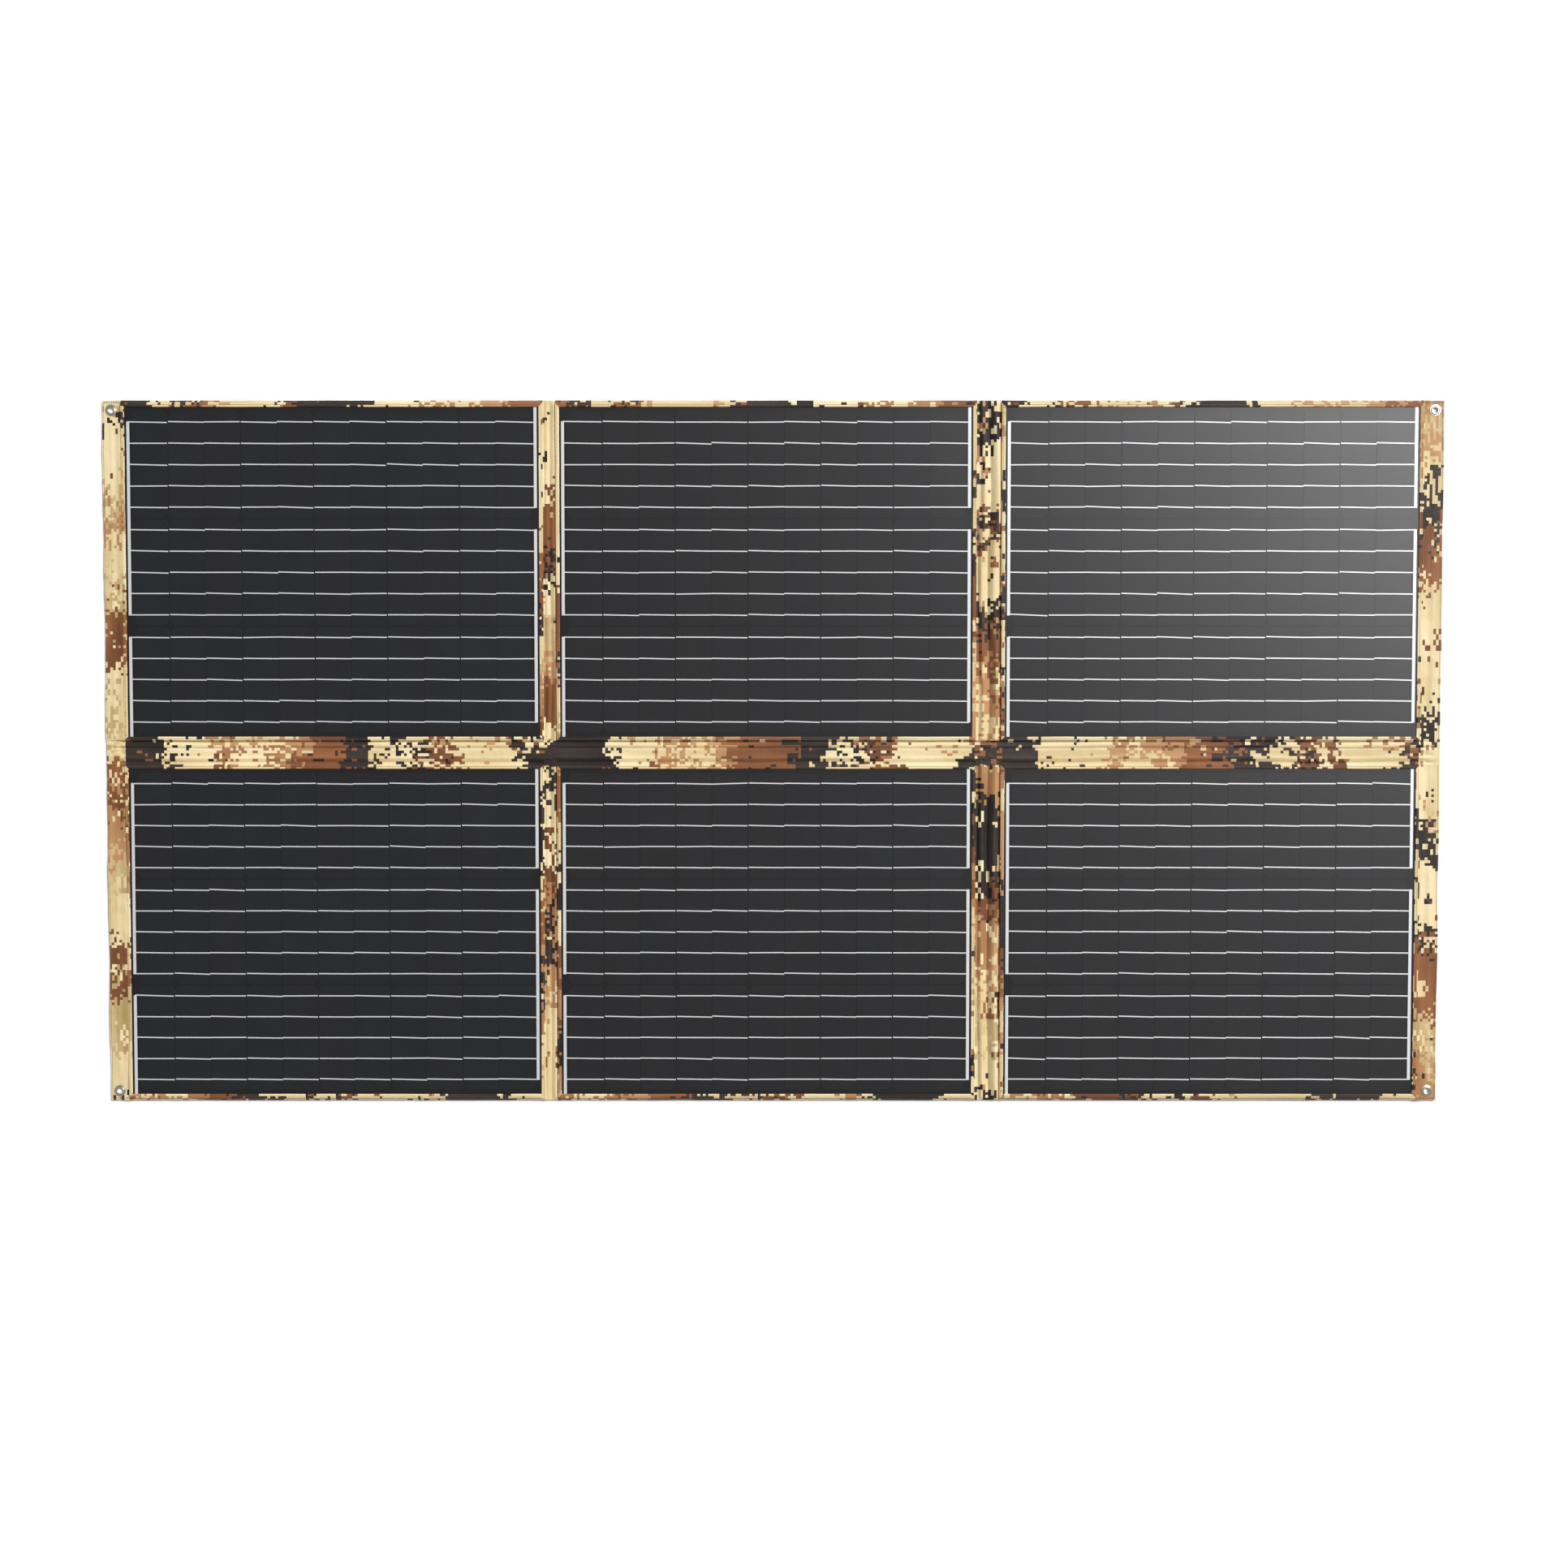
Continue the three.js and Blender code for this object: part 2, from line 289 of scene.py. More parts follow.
SWAY = {"back": 900 * MM}  # how far large patches push it about, 110 mm if not given
YARN = 0.62 * MM  # pitch of the weave


def camouflage_cloth(name):
    """Polyester cloth printed with one of PRINTS, a desert camouflage of square blocks."""
    length, bands = PRINTS[name]
    g = Graph(f"camo_{name}", Sheen_Weight=0.12, Sheen_Roughness=0.4, Specular_IOR_Level=0.35)
    flat = g.flat()
    block = g.snapped(flat, (PIXEL, PIXEL, PIXEL))
    long_block = g.snapped(flat, (2 * PIXEL, PIXEL, PIXEL))
    along = g.axes(block)[0]

    def push(pattern, metres):
        """Moves the inks along or back by up to half of metres."""
        return g.math("SUBTRACT", pattern, 0.5), metres

    place = g.math("ADD", g.math("MULTIPLY", along, FOLLOW.get(name, 1.0)), g.rise([
        push(g.noise(block, 110 * MM, 1.0), SWAY.get(name, 110 * MM)),
        push(g.noise(block, 26 * MM), 150 * MM),
        push(g.grain(block), 26 * MM),
        push(g.grain(long_block), 34 * MM),
    ]))
    phase = g.math("MULTIPLY", place, 1 / (length * MM))
    # Stray blocks gather in clusters and borrow a colour from nearly half the print's length away.
    cluster = g.noise(g.scaled(long_block, (1.0, 1.0, 7.0)), 42 * MM, 0.0)
    odds = g.math("MULTIPLY", g.grain(long_block), g.math("SUBTRACT", cluster, 0.16))
    stray = g.math("GREATER_THAN", odds, 0.335)
    phase = g.math("FRACT", g.math("ADD", phase, g.math("MULTIPLY", stray, 0.46)))
    full, faded = (
        g.ramp(phase, [(start / length, INKS[ink][shade]) for start, ink in bands], "CONSTANT")
        for shade in (0, 1)
    )
    fading = g.ramp(g.noise(flat, 60 * MM, 1.0, stretch=(2.6, 0.5, 1.0)), [(0.36, 0.0), (0.64, 1.0)])
    x, y, _ = g.axes(flat)
    warp, weft = (g.math("SINE", g.math("MULTIPLY", axis, 2 * math.pi / YARN)) for axis in (x, y))
    return g.finish(g.mix(fading, full, faded), g.mottle(flat, 15 * MM, 0.52, 0.68), [
        (g.math("MULTIPLY", warp, weft), 0.02 * MM),
        (g.noise(flat, 9 * MM, 3.0), 0.55 * MM),
        (g.noise(flat, 30 * MM, stretch=(1.6, 0.6, 1.0)), 1.3 * MM),
    ], 0.9)


def film_relief(graph, place):
    """The satin film that seals the cells: a fine emboss over a faint waviness."""
    return [(graph.noise(place, 0.9 * MM), 0.012 * MM), (graph.noise(place, 26 * MM), 0.16 * MM)]


FILM_COAT = {"Specular_IOR_Level": 0.08, "Coat_Weight": 1.0, "Coat_Roughness": 0.36, "Coat_IOR": 1.5}


def solar_cells():
    """Blue-black wafers with fine fingers under the film, each of its own tint, with painted sheen: the
    columns further right are painted lighter.
    """
    g = Graph("solar_cells", **FILM_COAT)
    flat = g.flat()
    across = g.math("MULTIPLY", g.axes(flat)[0], 1 / FINGER_PITCH)
    finger = g.math("GREATER_THAN", g.math("FRACT", across), 0.9)
    tone = g.node("ShaderNodeAttribute", {}, attribute_name="tone").outputs["Fac"]
    cloud = g.ramp(g.noise(flat, 45 * MM), [(0.35, 0.0), (0.75, 0.5)])
    # Painted sheen: the per-wafer value mixes blue-black toward a lighter charcoal, partly a random tint and
    # partly lighter column by column toward the right.
    wafer = g.mix(cloud, g.mix(tone, "0B0F16", "1A1617"), "151A22")
    colour = g.mix(g.math("MULTIPLY", finger, 0.14), wafer, "4B4D52")
    return g.finish(colour, g.mottle(flat, 20 * MM, 0.36, 0.48), film_relief(g, flat))


def encapsulant():
    """The near-black resin between and round the cells, under the film."""
    g = Graph("encapsulant", **FILM_COAT)
    place = g.place()
    colour = g.mix(g.noise(place, 12 * MM, 3.0), "08080A", "101114")
    return g.finish(colour, g.mottle(place, 6 * MM, 0.38, 0.5), film_relief(g, place))


def tinned_copper():
    """Flat tinned ribbon, with solder that is smoother in places."""
    g = Graph("tinned_ribbon", Metallic=0.35, Coat_Weight=0.6, Coat_Roughness=0.3)
    flat = g.flat()
    colour = g.mix(g.noise(flat, 7 * MM, 3.0), "D6D7D9", "E6E6E8")
    return g.finish(colour, g.mottle(flat, 3 * MM, 0.42, 0.58), [(g.noise(flat, 4 * MM), 0.05 * MM)])


def thread():
    """Dark brown sewing thread of two plies."""
    g = Graph("thread", Roughness=0.7, Sheen_Weight=0.3)
    place = g.place()
    colour = g.mix(g.noise(place, 2.5 * MM), "4A3021", "7B573C")
    return g.finish(colour, bumps=[(g.noise(place, 0.35 * MM), 0.12 * MM)])


def nickel():
    """Warm nickel plate, rubbed and finely scratched."""
    g = Graph("nickel_plate", Metallic=1.0)
    place = g.place()
    colour = g.mix(g.noise(place, 3 * MM, 3.0), "C9C2B2", "ECE6D8")
    scratch = g.noise(place, 1.2 * MM, 4.0, stretch=(4.0, 0.3, 1.0))
    return g.finish(colour, g.ramp(scratch, [(0.3, 0.18), (0.7, 0.4)]), [(scratch, 0.01 * MM)])


def webbing_weave():
    """Black polypropylene webbing: thick ribs along it, crossed by a fine weft."""
    g = Graph("webbing", Sheen_Weight=0.2, Specular_IOR_Level=0.4)
    flat = g.flat()
    x, y, _ = g.axes(flat)
    rib = g.math("ABSOLUTE", g.math("SINE", g.math("MULTIPLY", y, math.pi / (1.9 * MM))))
    weft = g.math("SINE", g.math("MULTIPLY", x, 2 * math.pi / (1.3 * MM)))
    colour = g.mix(g.noise(flat, 5 * MM, 3.0), "131210", "25221F")
    return g.finish(colour, g.mottle(flat, 2 * MM, 0.6, 0.85), [(rib, 0.18 * MM), (weft, 0.04 * MM)])


def moulded(name, dark, light, roughness, lump):
    """Moulded plastic, rubber or board: mottled colour and a fine grain."""
    g = Graph(name)
    place = g.place()
    colour = g.mix(g.noise(place, 14 * MM, 3.0), dark, light)
    rough = g.mottle(place, 5 * MM, roughness - 0.06, roughness + 0.08)
    return g.finish(colour, rough, [(g.noise(place, lump), 0.05 * MM)])


CAMO = {name: camouflage_cloth(name) for name in PRINTS}
WAFER = solar_cells()
RESIN = encapsulant()
RIBBON = tinned_copper()
THREAD = thread()
NICKEL = nickel()
STRAP = webbing_weave()
RUBBER = moulded("gland_rubber", "0B0B0B", "171717", 0.72, 0.7 * MM)
CABLE = moulded("cable_sheath", "0D0D0E", "1A1A1C", 0.5, 1.2 * MM)
FIBRE_BOARD = moulded("fibre_board", "1D1E1F", "33353A", 0.62, 2.2 * MM)
COVER_PLASTIC = moulded("cover_plastic", "0F0F10", "1C1C1D", 0.5, 0.6 * MM)


# ---------------- mesh making

def place_object(name, data):
    """A linked object with this data."""
    obj = bpy.data.objects.new(name, data)
    bpy.context.scene.collection.objects.link(obj)
    return obj


def mesh_object(name, bm, material):
    """A linked object made of a finished bmesh."""
    mesh = bpy.data.meshes.new(name)
    bm.to_mesh(mesh)
    bm.free()
    mesh.materials.append(material)
    return place_object(name, mesh)


def piece(name, bm, material, smooth=True):
    """A piece of the blanket, made of a finished bmesh."""
    obj = mesh_object(name, bm, material)
    obj.data.polygons.foreach_set("use_smooth", [smooth] * len(obj.data.polygons))
    return obj


def new_mesh():
    """An empty bmesh, and its layer of flat places."""
    bm = bmesh.new()
    return bm, bm.loops.layers.uv.new("cloth")


def add_grid(bm, layer, points, flats, keep=None, material=0):
    """Adds a grid of quads, points[i][j], whose normals point along i x j, with its flat places."""
    verts = [[bm.verts.new(p) for p in row] for row in points]
    for i in range(len(points) - 1):
        for j in range(len(points[0]) - 1):
            corners = ((i, j), (i + 1, j), (i + 1, j + 1), (i, j + 1))
            middle = sum((Vector(points[a][b]) for a, b in corners), Vector()) / 4
            if keep and not keep(middle):
                continue
            face = bm.faces.new([verts[a][b] for a, b in corners])
            face.material_index = material
            for loop, (a, b) in zip(face.loops, corners):
                loop[layer].uv = flats[a][b]
    loose = [v for row in verts for v in row if not v.link_faces]
    bmesh.ops.delete(bm, geom=loose, context="VERTS")


def lay_flat(faces, layer):
    """Takes the plan of these faces as their flat place."""
    for face in faces:
        for loop in face.loops:
            loop[layer].uv = loop.vert.co.xy


def bridge(bm, a, b):
    """Faces between two closed rings of verts."""
    after = [(k + 1) % len(a) for k in range(len(a))]
    return [bm.faces.new([a[k], a[n], b[n], b[k]]) for k, n in enumerate(after)]


def crisp_edges(bm):
    """Keeps the shading of a sheet's face apart from the shading of its cut edges."""
    for edge in bm.edges:
        edge.smooth = not edge.is_boundary


def spread(low, high, count):
    """The ends of count equal steps from low to high."""
    return [low + (high - low) * i / count for i in range(count + 1)]


def surface(name, xs, ys, height, cloth, keep=None, shift=lambda x, y: (x, y)):
    """A sheet over a plan grid, cut from cloth, which is a Print. height(x, y) gives z."""
    bm, layer = new_mesh()
    points = [[(*shift(x, y), height(x, y)) for y in ys] for x in xs]
    add_grid(bm, layer, points, [[cloth.at(x, y) for y in ys] for x in xs], keep)
    crisp_edges(bm)
    return piece(name, bm, cloth.material)


def thicken(obj, thickness, offset=-1.0):
    """Gives a sheet its thickness: offset 1 is outwards, along the normals."""
    solid = obj.modifiers.new("thickness", "SOLIDIFY")
    solid.thickness = thickness
    solid.offset = offset
    solid.use_even_offset = True


def ripple(x, y, size, height, seed=0.0):
    """Smooth waves about size across, up to height up or down."""
    return height * noise.noise(Vector((x / size, y / size, seed)))


def hump(t, centre, width):
    """1 at the centre, falling away smoothly to nothing within about two widths."""
    return math.exp(-(((t - centre) / width) ** 2))


def ridge(t, crest, rise, fall):
    """A fold of cloth: a sharp foot and straight flanks that round over at t = crest, height 1."""
    u = (t - crest) / (rise if t < crest else fall)
    return 1 - abs(u) ** 1.5 if abs(u) < 1 else 0.0


def lathe(name, profile, centre, material):
    """A closed ring of a closed (radius, z) profile round a vertical axis."""
    bm, layer = new_mesh()
    rings = []
    for angle in spread(0, 2 * math.pi, LATHE_STEPS)[:-1]:
        across = Vector((math.cos(angle), math.sin(angle)))
        rings.append([bm.verts.new((*(centre.xy + r * across), z)) for r, z in profile])
    for ring, after in zip(rings, rings[1:] + rings[:1]):
        bridge(bm, after, ring)
    lay_flat(bm.faces, layer)
    bmesh.ops.recalc_face_normals(bm, faces=bm.faces)
    return piece(name, bm, material)


def add_stitch(bm, start, end, up):
    """One stitch: a grain of thread from start to end, standing a little proud along up."""
    along = end - start
    side = along.cross(up).normalized() * STITCH_W / 2
    high = up * STITCH_W * 0.42
    rings = [
        [bm.verts.new(start + along * share + offset) for offset in (side, high, -side, -high)]
        for share in (0.22, 0.78)
    ]
    tips = [bm.verts.new(start), bm.verts.new(end)]
    for k in range(4):
        after = (k + 1) % 4
        bm.faces.new([tips[0], rings[0][k], rings[0][after]])
        bm.faces.new([rings[0][k], rings[1][k], rings[1][after], rings[0][after]])
        bm.faces.new([tips[1], rings[1][after], rings[1][k]])


def add_stitch_line(bm, start, end, up, pitch=STITCH_PITCH, chance=None, laid=lambda point: point):
    """Stitches in a row from start to end.

    chance makes them a little uneven, as a machine on soft cloth leaves them. laid puts a point on the cloth.
    """
    start, end = Vector(start), Vector(end)
    count = max(1, round((end - start).length / pitch))
    step = (end - start) / count
    forward = step.normalized()
    side = forward.cross(up)
    half = forward * STITCH_LENGTH / 2
    for k in range(count):
        centre = start + step * (k + 0.5)
        if chance:
            centre += side * chance.uniform(-0.16, 0.16) * MM
            centre += forward * chance.uniform(-0.12, 0.12) * MM
        add_stitch(bm, laid(centre - half), laid(centre + half), up)


def stitches(name, bm, body):
    """The piece of finished stitches, sewn to a body."""
    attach(piece(name, bm, THREAD), body)


# ---------------- print placement

class Print:
    """A camouflage print, and where a piece of cloth lies on it.

    The prints of the folds and flaps run down the blanket from start, and the others along it.
    """

    def __init__(self, name, start, across):
        self.material = CAMO[name]
        self.start = start
        self.across = across
        self.runs_down = name.startswith(("fold", "flap"))

    def at(self, x, y):
        """The place in the print of a point of the plan: along the strip of cloth, then across it."""
        if self.runs_down:
            return self.start - y, x + self.across
        return x - self.start, y + self.across


SPINE_PRINT = Print("carrier", BOARD["left", "lower"].x0, 0.05)
FOLD_PRINT = {side: Print(f"fold_{side}", EDGE_Y, 0.9) for side in OUTWARD}
FLAP_PRINT = {side: Print(f"flap_{side}", EDGE_Y, 2.6) for side in OUTWARD}
# The cloth lapped over the two upright sides of a panel: west, then east.
LAP_PRINT = {
    "left": (Print("flap_left", EDGE_Y, 3.1), Print("fold_left", 0.46, 5.3)),
    "middle": (Print("fold_left", 0.38, 6.7), Print("fold_right", 0.59, 7.9)),
    "right": (Print("fold_right", 0.41, 8.8), Print("flap_right", EDGE_Y, 9.4)),
}
HEM_PRINT = {"upper": Print("carrier", -1.31, 4.3), "lower": Print("carrier", -1.77, 5.2)}
BACK_PRINT = Print("back", -1.4, 7.0)


# ---------------- panels

def window(board):
    """The part of a panel's face that the cloth leaves open: x0, x1, y0, y1."""
    return board.x0 + LAP, board.x1 - LAP, board.y0 + LAP, board.y1 - LAP


def first_cell(board):
    """The lower left corner of the field of cells."""
    x0, x1, y0, y1 = window(board)
    return (x0 + x1 - CELLS * CELL_PITCH) / 2, (y0 + y1 - STRINGS * STRING_PITCH) / 2


def cell_outline(x0, x1, y0, y1, cut_left, cut_right):
    """A wafer's outline, anticlockwise, with its rounded corners cut where the full wafer ended."""
    def corner(x, y, to_x, to_y, is_cut):
        if not is_cut:
            return [(x, y)]
        arc = [(0.0, 1.0), (0.2, 0.62), (0.55, 0.22), (1.0, 0.0)]
        return [(x + to_x * a * CELL_CHAMFER * 0.8, y + to_y * b * CELL_CHAMFER) for a, b in arc]

    return (
        corner(x0, y0, 1, 1, cut_left)
        + corner(x1, y0, -1, 1, cut_right)[::-1]
        + corner(x1, y1, -1, -1, cut_right)
        + corner(x0, y1, 1, -1, cut_left)[::-1]
    )


def add_cell(bm, outline, z, tilt, tone, layers):
    """A thin plate with a bevelled rim. tilt raises it by x and y, so that each wafer reflects alone."""
    flat_layer, tone_layer = layers
    cx = sum(x for x, _ in outline) / len(outline)
    cy = sum(y for _, y in outline) / len(outline)

    def lifted(x, y, height, shrink=0.0):
        sx = x - math.copysign(shrink, x - cx)
        sy = y - math.copysign(shrink, y - cy)
        return Vector((sx, sy, z + height + tilt[0] * (x - cx) + tilt[1] * (y - cy)))

    bottom = [bm.verts.new((x, y, z - 0.05 * MM)) for x, y in outline]
    rim = [bm.verts.new(lifted(x, y, CELL_T * 0.6)) for x, y in outline]
    top = [bm.verts.new(lifted(x, y, CELL_T, 0.06 * MM)) for x, y in outline]
    faces = [bm.faces.new(top), bm.faces.new(bottom[::-1])]
    lay_flat(faces + bridge(bm, bottom, rim) + bridge(bm, rim, top), flat_layer)
    for vert in bottom + rim + top:
        vert[tone_layer] = tone


def add_bar(bm, start, end, width, z, thickness, layer):
    """A flat bar in the plan from start to end, the edges of its top face bevelled."""
    start, end = Vector((*start, z)), Vector((*end, z))
    side = Vector((0, 0, 1)).cross(end - start).normalized() * width / 2
    section = ((-1.0, 0.0), (-1.0, 0.6), (-0.8, 1.0), (0.8, 1.0), (1.0, 0.6), (1.0, 0.0))
    first, last = (
        [bm.verts.new(p + side * s + Vector((0, 0, thickness * h))) for s, h in section]
        for p in (start, end)
    )
    faces = [bm.faces.new(first[::-1]), bm.faces.new(last)]
    lay_flat(faces + bridge(bm, first, last), layer)


def cell_field(column, row, chance):
    """The wafers of one panel: three strings of a single cell and five pairs."""
    left, low = first_cell(BOARD[column, row])
    bm, flat_layer = new_mesh()
    layers = (flat_layer, bm.verts.layers.float.new("tone"))
    for string in range(STRINGS):
        for cell in range(CELLS):
            x0 = left + cell * CELL_PITCH + CELL_GAP_X / 2
            y0 = low + string * STRING_PITCH + CELL_GAP_Y / 2
            x1 = x0 + CELL_PITCH - CELL_GAP_X
            y1 = y0 + STRING_PITCH - CELL_GAP_Y
            starts_pair = cell % 2 == 1
            outline = cell_outline(x0, x1, y0, y1, cell == 0 or starts_pair, not starts_pair)
            tilt = (chance.uniform(-CELL_TILT, CELL_TILT), chance.uniform(-CELL_TILT, CELL_TILT) / 4)
            # Painted sheen: each column's wafers start lighter toward the right, where the light comes from;
            # the random part is each wafer's own tint.
            tone = TINT_AND_PAINTED_SHEEN[column] + 0.45 * chance.random()
            add_cell(bm, outline, LAMINATE.z1, tilt, tone, layers)
    obj = piece(f"cells_{column}_{row}", bm, WAFER, smooth=False)
    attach(obj, f"panel_{column}_{row}")
    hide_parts(f"front_film_{column}_{row}")


def busbars(column, row, chance):
    """The ribbons along each string, one length to a cell, and the cross ribbons that join the strings."""
    board = BOARD[column, row]
    left, low = first_cell(board)
    x0, x1, y0, y1 = window(board)
    z = LAMINATE.z1 + CELL_T + CELL_TILT * CELL_PITCH / 2
    bm, layer = new_mesh()
    pitch = (STRING_PITCH - CELL_GAP_Y) / BUSBARS
    levels = [
        low + string * STRING_PITCH + CELL_GAP_Y / 2 + (bar + 0.5) * pitch
        for string in range(STRINGS)
        for bar in range(BUSBARS)
    ]
    west = x0 + CROSS_RIBBON_INSET + CROSS_RIBBON_W / 2
    east = x1 - CROSS_RIBBON_INSET - CROSS_RIBBON_W / 2
    for y in levels:
        for cell in range(CELLS):
            starts_pair = cell % 2 == 1
            a = left + cell * CELL_PITCH + (RIBBON_NOTCH / 2 if starts_pair else 0)
            b = left + (cell + 1) * CELL_PITCH - (0 if starts_pair else RIBBON_NOTCH / 2)
            a = west if cell == 0 else a
            b = east if cell == CELLS - 1 else b
            slope = chance.gauss(-0.35, 0.3) * MM
            shift = chance.gauss(0.0, 0.22) * MM
            add_bar(bm, (a, y + shift - slope), (b, y + shift + slope), RIBBON_W, z, RIBBON_T, layer)
    # Two cross ribbons at each side. The first at the left and the last at the right run on under the cloth.
    rim = RIBBON_W / 2
    for x, a, b in (
        (west, y0 - CROSS_RIBBON_TUCK, levels[BUSBARS - 1] + rim),
        (west, levels[BUSBARS] - rim, levels[-1] + rim),
        (east, levels[0] - rim, levels[2 * BUSBARS - 1] + rim),
        (east, levels[2 * BUSBARS] - rim, y1 + CROSS_RIBBON_TUCK),
    ):
        add_bar(bm, (x, a), (x, b), CROSS_RIBBON_W, z + RIBBON_T / 2, RIBBON_T * 1.3, layer)
    obj = piece(f"ribbons_{column}_{row}", bm, RIBBON, smooth=False)
    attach(obj, f"panel_{column}_{row}")


# The cloth binding's inner face round a window: (distance out from the window's edge, height above the film).
RETURN_PROFILE = ((3.9, 0.40), (2.0, 0.40), (0.60, 0.40), (0.38, 0.44), (0.32, 0.50), (0.42, 0.57))
LAP_PROFILE = ((1.0, 0.63), (2.1, 0.66), (3.0, 0.58), (3.5, 0.45), (4.0, 0.55), (4.6, 0.55))
HEM_TAIL = ((5.2, 0.30), (5.8, -0.25), (6.5, -1.10), (7.4, -2.20), (8.3, -2.95), (9.0, -3.35), (9.45, -3.6))
FOLD_TAIL = ((4.95, 0.42), (5.1, 0.20), (5.2, -0.15), (5.26, -0.60), (5.3, -1.10), (5.32, -1.5), (5.34, -1.8))
BINDING_STEPS = 84
MITRE_EASE = 9 * MM  # along a side, from the mitre's height to the profile's own


def binding_profile(tail):
    """The whole profile in metres, as (distance out, z), ending in this tail."""
    return [(d * MM, FILM.z1 + z * MM) for d, z in RETURN_PROFILE + LAP_PROFILE + tail]


def profile_length(profile):
    """The width of flat cloth that a profile takes."""
    return sum(math.dist(a, b) for a, b in zip(profile, profile[1:]))


def front_border(column, row):
    """The front cloth of one panel: turned under at the window, lapped over the board's edge."""
    board = BOARD[column, row]
    x0, x1, y0, y1 = window(board)
    hem = binding_profile(HEM_TAIL)
    fold = binding_profile(FOLD_TAIL)
    low, high = (hem, fold) if row == "lower" else (fold, hem)
    hem_print = HEM_PRINT[row]
    low_print, high_print = (hem_print, SPINE_PRINT) if row == "lower" else (SPINE_PRINT, hem_print)
    west_print, east_print = LAP_PRINT[column]
    sides = (
        ((x0, y0), (x1, y0), low, low_print),
        ((x1, y0), (x1, y1), fold, east_print),
        ((x1, y1), (x0, y1), high, high_print),
        ((x0, y1), (x0, y0), fold, west_print),
    )
    bm, layer = new_mesh()
    for index, (start, end, own, cloth) in enumerate(sides):
        points = []
        for levels in zip(own, low, fold, high):
            ends = [binding_corner(board, corner, levels[1:]) for corner in (start, end)]
            points.append([binding_point(ends, levels[0], t) for t in spread(0, 1, BINDING_STEPS)])
        flats = [[cloth.at(p.x, p.y) for p in line] for line in points]
        add_grid(bm, layer, points, flats, material=index)
    bmesh.ops.remove_doubles(bm, verts=bm.verts, dist=0.01 * MM)
    crisp_edges(bm)
    obj = piece(f"front_border_cloth_{column}_{row}", bm, low_print.material)
    for _, _, _, cloth in sides[1:]:
        obj.data.materials.append(cloth.material)
    thicken(obj, CLOTH_T, 1.0)
    runs = [math.dist(start, end) for start, end, _, _ in sides]
    widths = [profile_length(own) for _, _, own, _ in sides]
    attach(obj, f"panel_{column}_{row}")
    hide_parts(f"front_border_{column}_{row}")


def binding_corner(board, corner, levels):
    """Where the profiles of the lower side, the folds and the upper side meet at a corner, at one level."""
    low, fold, high = levels
    x, y = corner
    out_x = math.copysign(1, x - (board.x0 + board.x1) / 2)
    out_y = math.copysign(1, y - (board.y0 + board.y1) / 2)
    across = high if out_y > 0 else low
    return Vector((x + out_x * fold[0], y + out_y * across[0], min(fold[1], across[1])))


def binding_point(ends, level, t):
    """A point of the binding at t between two mitred corners, at one level of this side's own profile."""
    run = ends[1] - ends[0]
    point = ends[0].lerp(ends[1], t)
    settle = min(1.0, min(t, 1 - t) * run.length / MITRE_EASE)
    point.z += (level[1] - point.z) * settle * settle * (3 - 2 * settle)
    out = Vector((run.y, -run.x, 0)).normalized()
    sway = ripple(point.x + point.y, point.x - point.y, 60 * MM, 0.32 * MM, 3.0) * settle
    return point + out * sway + Vector((0, 0, ripple(point.x, point.y, 22 * MM, 0.07 * MM, 9.0)))


HEM_STITCH = (7.3 * MM, 1.6 * MM)  # the hem's row of stitches: out from the window, and below the film


def border_stitches(column, row, chance):
    """The seam round a window, seen on the front and on the back, and the row along the hem."""
    board = BOARD[column, row]
    x0, x1, y0, y1 = window(board)
    bm = bmesh.new()
    a, b = x0 - EDGE_STITCH, x1 + EDGE_STITCH
    c, d = y0 - EDGE_STITCH, y1 + EDGE_STITCH
    corners = ((a, c), (b, c), (b, d), (a, d), (a, c))
    for z, up in ((FILM.z1 + 0.45 * MM + CLOTH_T, 1), (BACK.z0 - 0.02 * MM, -1)):
        for start, end in zip(corners, corners[1:]):
            add_stitch_line(bm, (*start, z), (*end, z), Vector((0, 0, up)), chance=chance)
    out, below = HEM_STITCH
    y = (y1 if row == "upper" else y0) + UPWARD[row] * out
    ends = [(x, y, FILM.z1 - below) for x in (board.x0 + 2 * MM, board.x1 - 2 * MM)]
    add_stitch_line(bm, *ends, Vector((0, UPWARD[row] * 0.75, 0.66)), chance=chance)
    stitches(f"border_stitches_{column}_{row}", bm, f"panel_{column}_{row}")


def back_cloth(column, row):
    """The back of one panel: cloth drawn over the board, quilted down along the seam round it."""
    board = BOARD[column, row]
    cad = Box(f"back_cloth_{column}_{row}")
    x0, x1, y0, y1 = window(board)

    def height(x, y):
        inset = min(x - cad.x0, cad.x1 - x, y - cad.y0, cad.y1 - y)
        seam = hump(min(x - x0, x1 - x, y - y0, y1 - y), -EDGE_STITCH, 2.2 * MM)
        slack = ripple(x, y, 85 * MM, 0.34 * MM, 5.0) + ripple(x, y, 24 * MM, 0.12 * MM, 6.0)
        rim = hump(inset, 0.0, 1.5 * MM)
        return BACK.z0 + 0.05 * MM + 0.22 * MM * seam + 0.5 * MM * rim - abs(slack) * (1 - rim)

    rim_steps = [0.0, 0.7, 1.5, 2.4, 3.4, 4.6, 6.2, 9.0, 14.0]

    def stations(low, high, count):
        """Steps from low to high, close together at both ends."""
        near = [low + d * MM for d in rim_steps]
        far = [high - d * MM for d in rim_steps[::-1]]
        return near + spread(low + 26 * MM, high - 26 * MM, count) + far

    xs, ys = stations(cad.x0, cad.x1, 46), stations(cad.y0, cad.y1, 38)
    obj = surface(f"back_cloth_sheet_{column}_{row}", xs, ys, height, BACK_PRINT)
    thicken(obj, CLOTH_T, 1.0)
    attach(obj, f"panel_{column}_{row}")
    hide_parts(f"back_cloth_{column}_{row}")


# ---------------- cloth between and round the panels

EDGE_LIFT = 1.0 * MM  # how far free cloth rises to go under the lapped edge of a panel
HEM_Z = 2.55 * MM  # height of all free cloth at the outer hem
